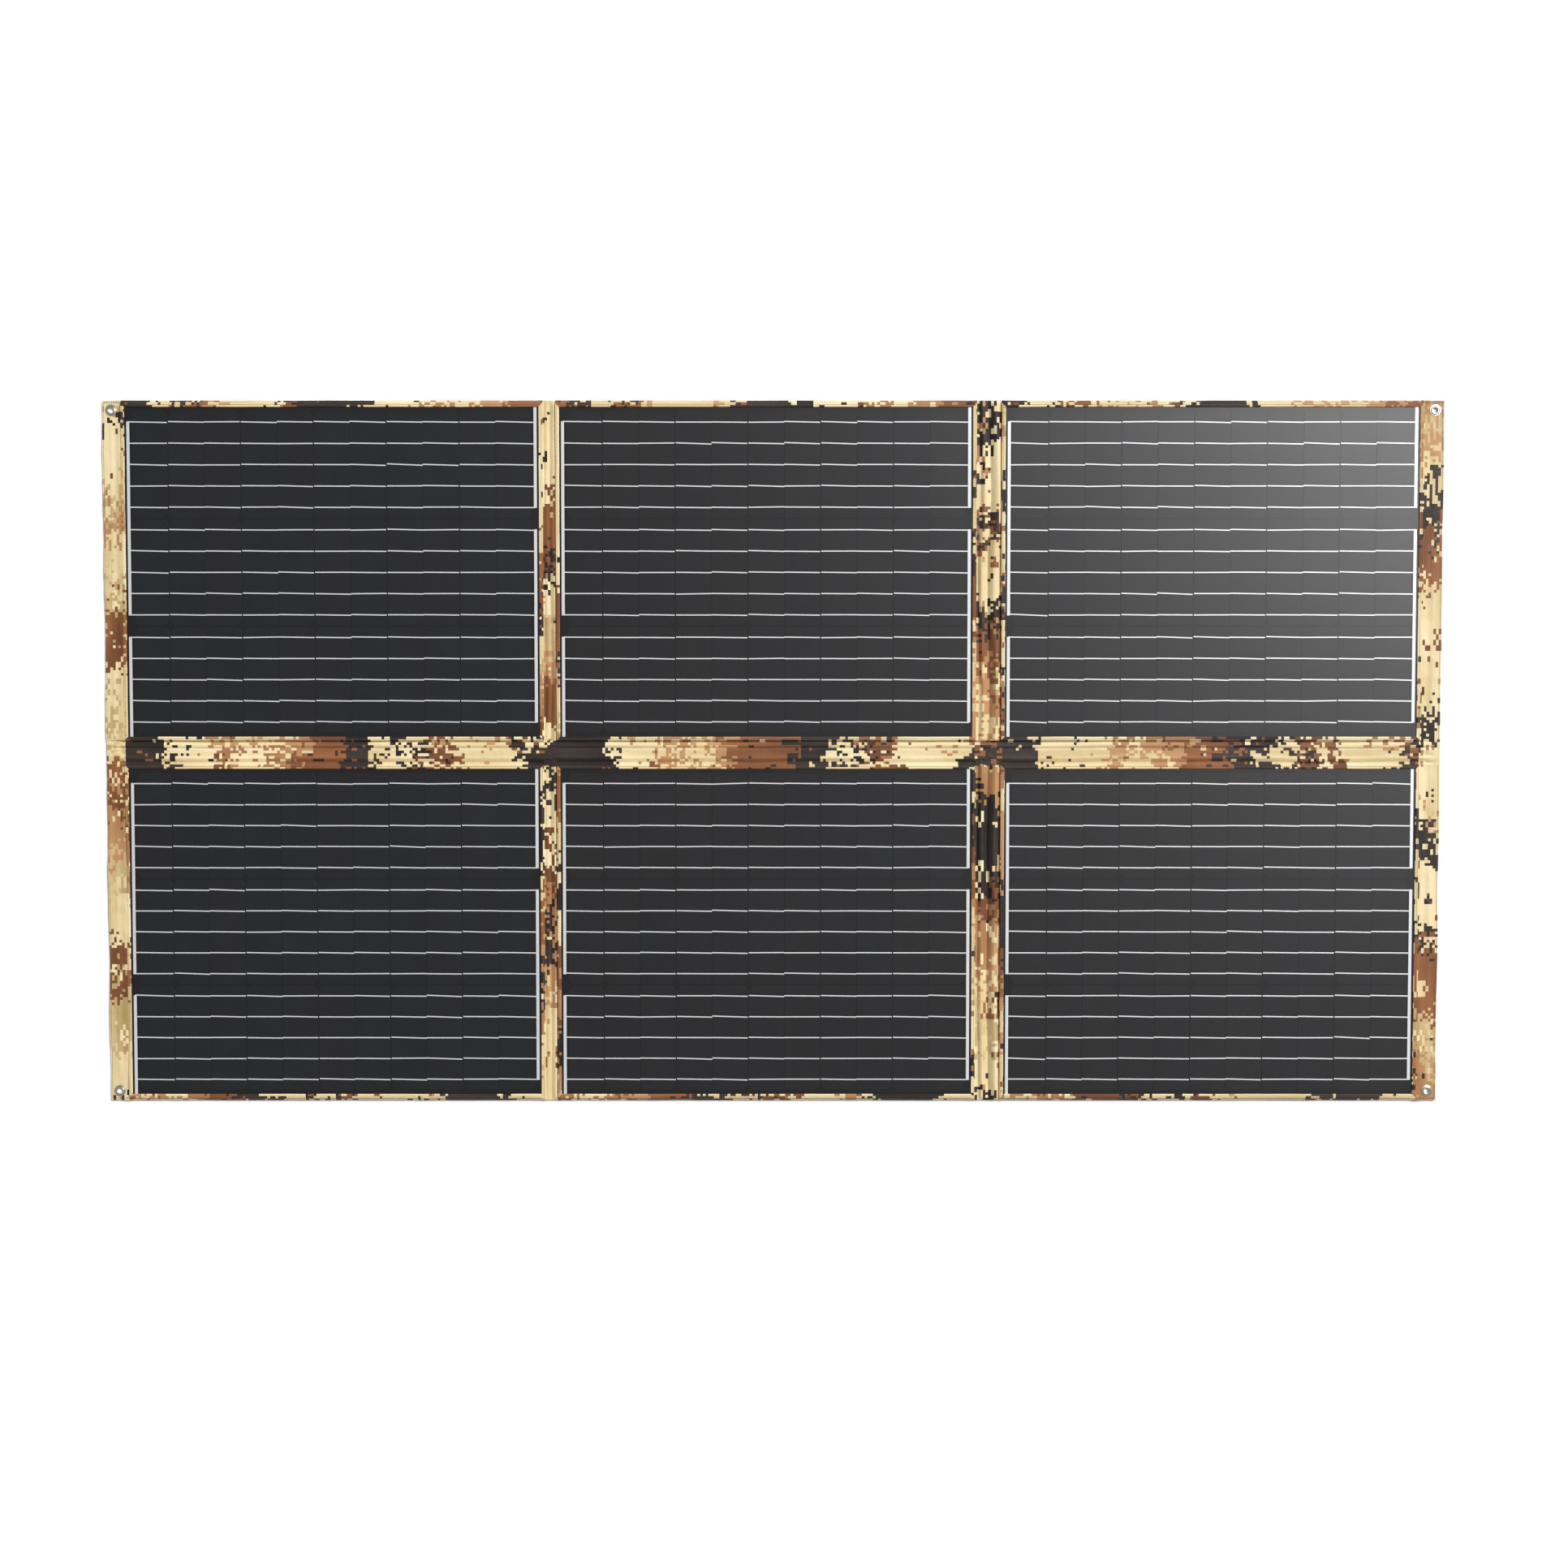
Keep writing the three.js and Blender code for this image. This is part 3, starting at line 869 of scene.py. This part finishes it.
# Heights in mm that the free cloth keeps between, low enough for a folded panel to clear it.
FOLD_LOW, FOLD_HIGH = 1.6, 8.2
SPINE_LOW, SPINE_HIGH = 2.5, 5.0
# The ridges of a fold's cloth, as (crest, rise, fall, height): shares of the width from west, and mm.
FOLD_RIDGES = {
    "left": ((0.86, 0.34, 0.2, 3.3), (0.3, 0.2, 0.3, 1.1)),
    "right": ((0.8, 0.28, 0.22, 6.8), (0.28, 0.14, 0.24, 3.6)),
}
SPINE_RIDGES = ((0.57, 0.23, 0.36, 2.7), (-0.42, 0.32, 0.34, 2.3))  # the same, as shares of SPINE_REACH
FLAP_HEM = 8.5 * MM


def hem_fall(y):
    """0 in the blanket, rising to 1 at the outer hem, where free cloth comes down to one height."""
    inset = (EDGE_Y - abs(y)) / (5.5 * MM)
    return max(0.0, 1 - inset) ** 2


def fold_strip(side, row):
    """The free cloth between two columns: it lies in long soft ridges."""
    inner, outer = FOLD_SPAN[side]
    inner += OUTWARD[side] * CLOTH_GAP
    outer -= OUTWARD[side] * CLOTH_GAP
    x0, x1 = sorted((inner, outer))

    def height(x, y):
        t = (x - x0) / (x1 - x0)
        drift = ripple(0.0, y, 190 * MM, 0.16, 2.0 + x0) + ripple(0.0, y, 60 * MM, 0.03, 4.0 + x0)
        lift = EDGE_LIFT * (hump(t, 0, 0.07) + hump(t, 1, 0.07))
        top = sum(high * MM * ridge(t + drift, *form) for *form, high in FOLD_RIDGES[side])
        top *= 1 + 0.25 * noise.noise(Vector((x0 * 7, y / 0.16, 1.0)))
        top *= min(1.0, t / 0.1, (1 - t) / 0.1)
        crumple = ripple(x, y, 14 * MM, 0.28 * MM, 7.0) * math.sin(math.pi * t)
        z = min(FOLD_LOW * MM + lift + top + crumple, FOLD_HIGH * MM)
        fall = hem_fall(y)
        return z * (1 - fall) + HEM_Z * fall

    xs = spread(x0, x1, 48 if side == "right" else 30)
    y0, y1 = SPINE_REACH - 0.2 * MM, EDGE_Y
    ys = sorted(UPWARD[row] * y for y in spread(y0, y1, 150))
    obj = surface(f"fold_cloth_{side}_{row}", xs, ys, height, FOLD_PRINT[side])
    thicken(obj, 2 * CLOTH_T)
    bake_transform(obj)
    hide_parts(f"fold_strip_{side}_{row}")


def spine_height(x, y):
    """The spine's cloth: two long ridges, and the cable under them."""
    settle = min(1.0, abs(y) / (3 * MM))
    across = y * settle / SPINE_REACH  # level where the sleeve's two halves meet
    drift = ripple(x, 0.0, 150 * MM, 0.13, 11.0) + ripple(x, 0.0, 48 * MM, 0.04, 12.0)
    folds = sum(high * ridge(across + drift, *form) for *form, high in SPINE_RIDGES)
    folds *= 1 + 0.35 * noise.noise(Vector((x / 0.12, 3.0, 5.0)))
    folds *= min(1.0, (1 - abs(across)) / 0.1)
    lift = 1.4 * hump(abs(across), 1.0, 0.06)
    crumple = ripple(x, y * settle, 13 * MM, 0.25, 13.0) * (1 - across * across)
    z = (SPINE_LOW + max(folds, over_cable(y))) + lift + crumple
    return min(z, SPINE_HIGH) * MM


def over_cable(y):
    """How far the bus cable holds the spine's cloth up, in mm."""
    beside = max(0.0, abs(y) - MIDDLE_CABLE.y1) / (4 * MM)
    return (MIDDLE_CABLE.z1 / MM + 0.55 - SPINE_LOW) * max(0.0, 1 - beside) ** 2


def crossing_height(side):
    """The height of the cloth where a fold crosses the spine, pinched into small sharp puckers."""
    inner, outer = FOLD_SPAN[side]
    centre, half_width = (inner + outer) / 2, abs(outer - inner) / 2

    def height(x, y):
        pinch = hump((x - centre) / half_width, 0.0, 0.75)
        pucker = ripple(x, y, 6.5 * MM, 1.3 * MM, 21.0) + ripple(x, y * 2.4, 9 * MM, 1.5 * MM, 22.0)
        z = spine_height(x, y) + pinch * (pucker - 0.1 * MM) * (1 - (y / SPINE_REACH) ** 4)
        return max(z, MIDDLE_CABLE.z1 + 0.75 * MM)

    return height


def end_pinch(x, y):
    """The height of the spine's side stretches, drawn together where they cross the flaps."""
    z = spine_height(x, y)
    from_end = EDGE_X - abs(x)
    pinch = hump(from_end, 22 * MM, 14 * MM) * (1 - (y / SPINE_REACH) ** 4)
    pucker = ripple(x, y, 7 * MM, 1.4 * MM, 41.0) + ripple(x * 0.3, y, 4 * MM, 1.0 * MM, 42.0)
    z += pinch * (pucker - 0.6 * MM)
    flat = max(0.0, 1 - from_end / (12 * MM))
    return z * (1 - flat) + HEM_Z * flat


def back_height(x, y):
    """The height of the spine's flat back cloth."""
    edge = hump(abs(y), SPINE_REACH, 2.5 * MM)
    return BACK.z0 + (0.15 + 0.9 * edge) * MM - abs(ripple(x, y, 30 * MM, 0.4 * MM, 31.0)) * (1 - edge)


def spine_rows(low, high):
    """Rows of the spine's grid from low to high, close together about the creases."""
    crease, _ = CREASE
    fine = [crease + d * MM for d in (-4.5, -3.6, -2.8, -2.1, -1.4, -0.7, 0.0, 0.6, 1.2)] + [SPINE_REACH]
    half = spread(0.0, crease - 5.5 * MM, 9) + fine
    rows = sorted([-y for y in half if y > 0] + half)
    return [y for y in rows if low - 1e-9 <= y <= high + 1e-9]


def spine_piece(name, face, xs, ys, step, height=spine_height, keep=None, cloth=SPINE_PRINT):
    """One stretch of the spine's front cloth, of this height, or of its back cloth."""
    back = face == "back"
    (x0, x1), (y0, y1) = sorted(xs), sorted(ys)
    stations = spread(x0, x1, max(6, round((x1 - x0) / step)))
    height = back_height if back else height
    obj = surface(f"{name}_{face}", stations, spine_rows(y0, y1), height, cloth, keep)
    thicken(obj, CLOTH_T, 1.0 if back else -1.0)
    return obj


def spine():
    """The sleeve across the middle: side stretches, crossings, and a middle in two halves that reach across
    both creases.

    At each end the flap's cloth runs on over the sleeve, from the lower row to the upper row.
    """
    whole = (-SPINE_REACH, SPINE_REACH)
    for side, outward in OUTWARD.items():
        end_x = BOARD[side, "upper"].end_x(outward)
        stretch, tip = (FOLD_SPAN[side][1], end_x), (end_x, outward * EDGE_X)
        for face in ("front", "back"):
            for obj in (
                spine_piece(f"spine_cloth_{side}", face, stretch, whole, 4 * MM, end_pinch),
                spine_piece(f"spine_end_cloth_{side}", face, tip, whole, 1.2 * MM, end_pinch,
                            cloth=FLAP_PRINT[side]),
            ):
                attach(obj, f"spine_{side}")
                if face == "front":
                    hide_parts(f"spine_strip_{side}")
    for side, (inner, outer) in FOLD_SPAN.items():
        for face in ("front", "back"):
            obj = spine_piece(f"crossing_cloth_{side}", face, (inner, outer), whole, 0.9 * MM,
                              crossing_height(side))
            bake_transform(obj)
            if face == "front":
                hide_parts(f"fold_crossing_{side}")
    middle = (FOLD_SPAN["left"][0], FOLD_SPAN["right"][0])
    crease, crease_z = CREASE
    for row, sign in UPWARD.items():
        half = (0.0, sign * SPINE_REACH)
        outer = (0, sign * (crease + CREASE_BEND), crease_z)
        inner = (0, sign * (crease - CREASE_BEND), crease_z)
        for face, step, keep in (("front", 5 * MM, None), ("back", 3 * MM, clear_of_gland)):
            obj = spine_piece(f"spine_cloth_middle_{row}", face, middle, half, step, keep=keep)
            if row == "lower":
                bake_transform(obj)
                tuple(outer)
                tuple(inner)
            else:
                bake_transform(obj)
                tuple(inner)
                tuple(outer)
            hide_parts(f"spine_strip_middle_{face}")


def clear_of_gland(point):
    """Whether a point of the spine's back is outside the hole for the output gland."""
    return (point.xy - GLAND.centre().xy).length > GLAND_HOLE


def bus_cable():
    """The flat cable inside the spine, in two lengths that meet in the middle, with close rings where they
    cross the folds.
    """
    half_w = (MIDDLE_CABLE.y1 - MIDDLE_CABLE.y0) / 2
    half_t = (MIDDLE_CABLE.z1 - MIDDLE_CABLE.z0) / 2
    centre_z = MIDDLE_CABLE.centre().z
    ring = []
    for angle in (2 * math.pi * (k + 0.5) / 16 for k in range(16)):
        across, up = math.cos(angle), math.sin(angle)
        ring.append((half_w * (0.86 * across + math.copysign(0.14, across)), centre_z + half_t * up))
    for side, (inner, outer) in FOLD_SPAN.items():
        stations = [0.0] + spread(inner, outer, 24) + [Box(f"bus_cable_{side}").end_x(OUTWARD[side])]
        bm, layer = new_mesh()
        rings = [[bm.verts.new((x, *place)) for place in ring] for x in stations]
        for a, b in zip(rings, rings[1:]):
            bridge(bm, a, b)
        bm.faces.new(rings[0])
        bm.faces.new(rings[-1][::-1])
        lay_flat(bm.faces, layer)
        bmesh.ops.recalc_face_normals(bm, faces=bm.faces)
        obj = piece(f"bus_cable_{side}_half", bm, CABLE)
        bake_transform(obj)
        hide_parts(f"bus_cable_{side}", "bus_cable_middle")


def side_flap(side, row):
    """The free cloth at one end of a row, hemmed round its edge, with the eyelet through it."""
    cad = Box(f"side_flap_{side}_{row}")
    eyelet_place = Box(f"eyelet_{side}_{row}").centre()
    outward, upward = OUTWARD[side], UPWARD[row]
    inner_x = BOARD[side, row].end_x(outward) + outward * CLOTH_GAP
    outer_x = outward * EDGE_X
    inner_y, outer_y = sorted((cad.y0, cad.y1), key=abs)
    mid_z = (cad.z0 + cad.z1) / 2

    def from_eyelet(x, y):
        return (Vector((x, y)) - eyelet_place.xy).length

    def calm(x, y):
        """0 at the eyelet, so that the cloth lies flat under its flanges, and 1 well away from it."""
        return min(1.0, max(0.0, (from_eyelet(x, y) - 9 * MM) / (22 * MM)))

    def height(x, y):
        from_edge = min(abs(outer_x - x), abs(outer_y - y))
        rim = 0.35 * MM * (1 if from_edge < FLAP_HEM else 0)
        lift = 3.2 * MM * hump(abs(x - inner_x), 0.0, 9.0 * MM)
        wave = ripple(0.4 * x, y, 70 * MM, 2.2 * MM, 51.0) + ripple(x, y, 17 * MM, 0.6 * MM, 52.0)
        roll = 1.4 * MM * hump(from_edge, 13 * MM, 5 * MM)
        return mid_z + CLOTH_T + (rim + lift + wave + roll) * calm(x, y)

    def shift(x, y):
        share = abs(x - inner_x) / abs(outer_x - inner_x)
        sway = ripple(0.0, y, 120 * MM, 1.6 * MM, 53.0 + outward) * calm(x, y)
        return x + share * sway, y

    def laid(point):
        """A point of the plan, put on the waved cloth."""
        return Vector((*shift(point.x, point.y), height(point.x, point.y) + 0.02 * MM))

    hem = [d * MM for d in (0.0, 1.0, 2.0, 3.2, 5.0, 6.8, 8.0, 9.0)]
    xs = [outer_x - outward * d for d in hem] + spread(inner_x, outer_x - outward * 10.5 * MM, 9)
    ys = [outer_y - upward * d for d in hem] + spread(inner_y, outer_y - upward * 10.5 * MM, 200)
    obj = surface(
        f"side_flap_cloth_{side}_{row}", sorted(xs), sorted(ys), height, FLAP_PRINT[side],
        keep=lambda p: from_eyelet(p.x, p.y) > EYELET_HOLE, shift=shift,
    )
    thicken(obj, 3 * CLOTH_T)
    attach(obj, f"panel_{side}_{row}")
    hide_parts(f"side_flap_{side}_{row}")

    # One row of stitches along the outer hem and two along the end.
    start_x, end_x = inner_x + outward * 2 * MM, outer_x - outward * 2 * MM
    first_y, second_y = outer_y - upward * 2 * MM, outer_y - upward * 3.6 * MM
    bm = bmesh.new()
    for start, end in (
        ((end_x, inner_y, 0), (end_x, first_y, 0)),
        ((start_x, first_y, 0), (end_x, first_y, 0)),
        ((start_x, second_y, 0), (end_x, second_y, 0)),
    ):
        add_stitch_line(bm, start, end, Vector((0, 0, 1)), laid=laid)
    stitches(f"flap_stitches_{side}_{row}", bm, f"panel_{side}_{row}")


# ---------------- hardware

def from_corner(radius, z, offsets):
    """Points of a profile, each given in mm from one of its corners."""
    return [(radius + out * MM, z + up * MM) for out, up in offsets]


def eyelet(side, row):
    """A pressed eyelet: a rolled collar and domed flanges, with a washer behind."""
    node = f"eyelet_{side}_{row}"
    cad = Box(node)
    flange = (cad.x1 - cad.x0) / 2
    arc = [math.pi * k / 10 for k in range(11)]
    collar = [(0.75 * (1 - math.cos(a)), 0.55 * math.sin(a) - 0.5) for a in arc]
    profile = from_corner(EYELET_BORE, cad.z1, collar)
    profile += from_corner(flange, cad.z1, [(-0.7, -0.18), (-0.2, -0.3), (0, -0.42), (-0.2, -0.46)])
    profile += [(EYELET_BARREL, cad.z1 - 0.5 * MM), (EYELET_BARREL, cad.z0 + 0.5 * MM)]
    profile += from_corner(flange, cad.z0, [(-0.3, 0.46), (0, 0.3), (-0.3, 0.1), (-1.6, 0)])
    profile += from_corner(EYELET_BORE, cad.z0, [(1.4, 0), (0.5, 0.1), (0, 0.45)])
    obj = lathe(f"pressed_{node}", profile, cad.centre(), NICKEL)
    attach(obj, f"panel_{side}_{row}")
    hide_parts(node)


def output_gland():
    """The moulded rubber gland in the back of the spine, with a ribbed flange and a soft lip."""
    flange = (GLAND.x1 - GLAND.x0) / 2
    ribs = [(0, 0.5), (0.25, 0.15), (0.7, 0), (1.1, 0.15), (1.4, 0.35), (2.5, 0.3), (2.9, 0.1), (3.6, 0.1)]
    profile = [(GLAND_BORE, GLAND.z1)] + from_corner(GLAND_BORE, GLAND.z0, ribs)
    profile += from_corner(flange, GLAND.z0, [(-0.2, 0.3), (0, 0.6), (-0.15, 0.88)])
    profile += [(GLAND_BARREL, GLAND.z0 + 0.9 * MM), (GLAND_BARREL, GLAND.z1)]
    obj = lathe("rubber_gland", profile, GLAND.centre(), RUBBER)
    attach(obj, "spine_middle")
    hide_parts("output_gland")


STRAP_W = 30 * MM
STRAP_T = 1.25 * MM
SEWN_END = 14 * MM  # webbing sewn to the hem beyond the line where the handle swings
HANDLE_CORNER = 12 * MM


def strap_sections(path):
    """For each point of a plan path, the half width vector across it, mitred where the path turns."""
    sections = []
    for k, point in enumerate(path):
        before = (point - path[k - 1]).normalized() if k else (path[1] - point).normalized()
        after = (path[k + 1] - point).normalized() if k + 1 < len(path) else before
        forward = (before + after).normalized()
        stretch = 1 / max(0.5, forward.dot(before))
        sections.append(Vector((-forward.y, forward.x)) * stretch * STRAP_W / 2)
    return sections


def handle(row):
    """A loop of webbing folded flat under the hem, its ends sewn down in boxes with a cross."""
    cad = Box(f"handle_{row}")
    sign = UPWARD[row]
    hinge_y = max(abs(cad.y0), abs(cad.y1))
    grip_y = min(abs(cad.y0), abs(cad.y1)) + STRAP_W / 2
    leg = (cad.x1 - cad.x0) / 2 - STRAP_W / 2
    centre_x = cad.centre().x
    # Rows close together about the hinge line, where the webbing of the real handle bends.
    near = [SEWN_END, 9 * MM] + [d * MM for d in (4.0, 3.0, 2.0, 1.0, 0.0, -1.0, -2.0, -3.0, -4.0, -8.0)]
    leg_ys = [hinge_y + d for d in near] + spread(hinge_y - 16 * MM, grip_y + HANDLE_CORNER, 6)
    west, east = ([Vector((x, sign * y)) for y in leg_ys] for x in (centre_x - leg, centre_x + leg))
    grip_xs = spread(centre_x - leg + HANDLE_CORNER, centre_x + leg - HANDLE_CORNER, 14)
    path = west + [Vector((x, sign * grip_y)) for x in grip_xs] + east[::-1]
    bm, layer = new_mesh()
    half = [(-1, 0.5), (-0.985, 0.85), (-0.95, 1), (-0.5, 1), (0, 1), (0.5, 1), (0.95, 1), (0.985, 0.85)]
    section = half + [(-s, 1 - h) for s, h in half]
    rings, flat = [], {}
    travelled = 0.0
    for k, (point, side) in enumerate(zip(path, strap_sections(path))):
        travelled += (point - path[k - 1]).length if k else 0.0
        lift = 0.08 * MM + abs(ripple(point.x, point.y, 30 * MM, 0.1 * MM, 61.0))
        rings.append([bm.verts.new((*(point + side * s), lift + h * STRAP_T)) for s, h in section])
        flat.update((vert, (travelled, s * STRAP_W / 2)) for vert, (s, _) in zip(rings[-1], section))
    for a, b in zip(rings, rings[1:]):
        for face in bridge(bm, a, b):
            for loop in face.loops:
                loop[layer].uv = flat[loop.vert]
    bm.faces.new(rings[0])
    bm.faces.new(rings[-1][::-1])
    bmesh.ops.recalc_face_normals(bm, faces=bm.faces)
    obj = piece(f"webbing_handle_{row}", bm, STRAP)
    start, end = (0, sign * (hinge_y + 1.5 * MM), 0), (0, sign * (hinge_y - 1.5 * MM), 0)
    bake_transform(obj)
    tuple(start)
    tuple(end)
    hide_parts(f"handle_{row}")
    handle_stitches(row, centre_x, leg, sign, hinge_y)


def handle_stitches(row, centre_x, leg, sign, hinge_y):
    """A sewn box with a cross at each end of the handle, on the side that faces the ground."""
    bm = bmesh.new()
    z = 0.05 * MM
    down = Vector((0, 0, -1))
    for x in (centre_x - leg, centre_x + leg):
        a, b = x - 12 * MM, x + 12 * MM
        c, d = sign * (hinge_y + 3.0 * MM), sign * (hinge_y + SEWN_END - 1.5 * MM)
        corners = [(a, c), (b, c), (b, d), (a, d)]
        lines = list(zip(corners, corners[1:] + corners[:1])) + [((a, c), (b, d)), ((b, c), (a, d))]
        for start, end in lines:
            add_stitch_line(bm, (*start, z), (*end, z), down, pitch=2.6 * MM)
    stitches(f"handle_stitches_{row}", bm, f"panel_middle_{row}")


# ---------------- assembly

def dress(node, material):
    """Gives a CAD node that stays its finished material."""
    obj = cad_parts[node]
    obj.data.materials.clear()
    obj.data.materials.append(material)


def build():
    """Makes every piece. A panel's pieces share one chain of random draws."""
    for column in COLUMNS:
        for row in ROWS:
            chance = random.Random(f"{column} {row}")
            tag = f"{column}_{row}"
            dress(f"cell_laminate_{tag}", RESIN)
            dress(f"backing_board_{tag}", FIBRE_BOARD)
            dress(f"terminal_cover_{tag}", COVER_PLASTIC)
            cell_field(column, row, chance)
            busbars(column, row, chance)
            front_border(column, row)
            border_stitches(column, row, chance)
            back_cloth(column, row)
    for side in OUTWARD:
        for row in ROWS:
            fold_strip(side, row)
            side_flap(side, row)
            eyelet(side, row)
    for row in ROWS:
        handle(row)
    spine()
    bus_cable()
    output_gland()


# ---------------- studio

CAMERA_PLACE = (0.016, 0.096, 3.242)
CAMERA_TURN = (math.radians(-2.52), 0.0, 0.0)
LENS = 50.0
FLOOR_HALF = 400.0  # metres, far enough that its edge stays near the horizon in low views
SURROUND = 0.34
KEY_FROM = (0.75, 0.8, 1.0)
KEY_STRENGTH = 3.4
SOFTBOX_SIZE = (3.0, 2.6)
SOFTBOX_PLACE = (2.85, 1.9, 4.2)
SOFTBOX_AIM = (0.6, 0.3, 0.0)
SOFTBOX_WATTS = 265


def studio():
    """A pale floor, a white surround, a soft key from the upper right, and the camera above.

    The key lights the cloth and leaves no reflection. The softbox is there only for the film's sheen.
    """
    scene = bpy.context.scene
    scene.view_settings.view_transform = "Standard"
    world = bpy.data.worlds.new("studio")
    scene.world = world
    world.use_nodes = True
    background = world.node_tree.nodes["Background"]
    background.inputs["Color"].default_value = (1.0, 0.99, 0.98, 1.0)
    background.inputs["Strength"].default_value = SURROUND

    bm = bmesh.new()
    bmesh.ops.create_grid(bm, x_segments=1, y_segments=1, size=FLOOR_HALF)
    g = Graph("floor", Roughness=0.9, Specular_IOR_Level=0.1)
    pale = g.finish(g.mix(g.noise(g.place(), 0.4), "F8F8F8", "FBFBFB"))
    mesh_object("floor", bm, pale)

    sun = bpy.data.lights.new("key", "SUN")
    sun.energy = KEY_STRENGTH
    sun.angle = math.radians(22)
    key = place_object("key", sun)
    key.rotation_euler = Vector(KEY_FROM).to_track_quat("Z", "Y").to_euler()
    key.visible_glossy = False

    area = bpy.data.lights.new("softbox", "AREA")
    area.shape = "RECTANGLE"
    area.size, area.size_y = SOFTBOX_SIZE
    area.energy = SOFTBOX_WATTS
    softbox = place_object("softbox", area)
    softbox.location = SOFTBOX_PLACE
    aim = Vector(SOFTBOX_AIM) - Vector(SOFTBOX_PLACE)
    softbox.rotation_euler = aim.to_track_quat("-Z", "Y").to_euler()
    softbox.visible_diffuse = False

    camera = bpy.data.cameras.new("camera")
    camera.lens = LENS
    eye = place_object("camera", camera)
    eye.location = CAMERA_PLACE
    eye.rotation_euler = Euler(CAMERA_TURN)
    scene.camera = eye


studio()
build()
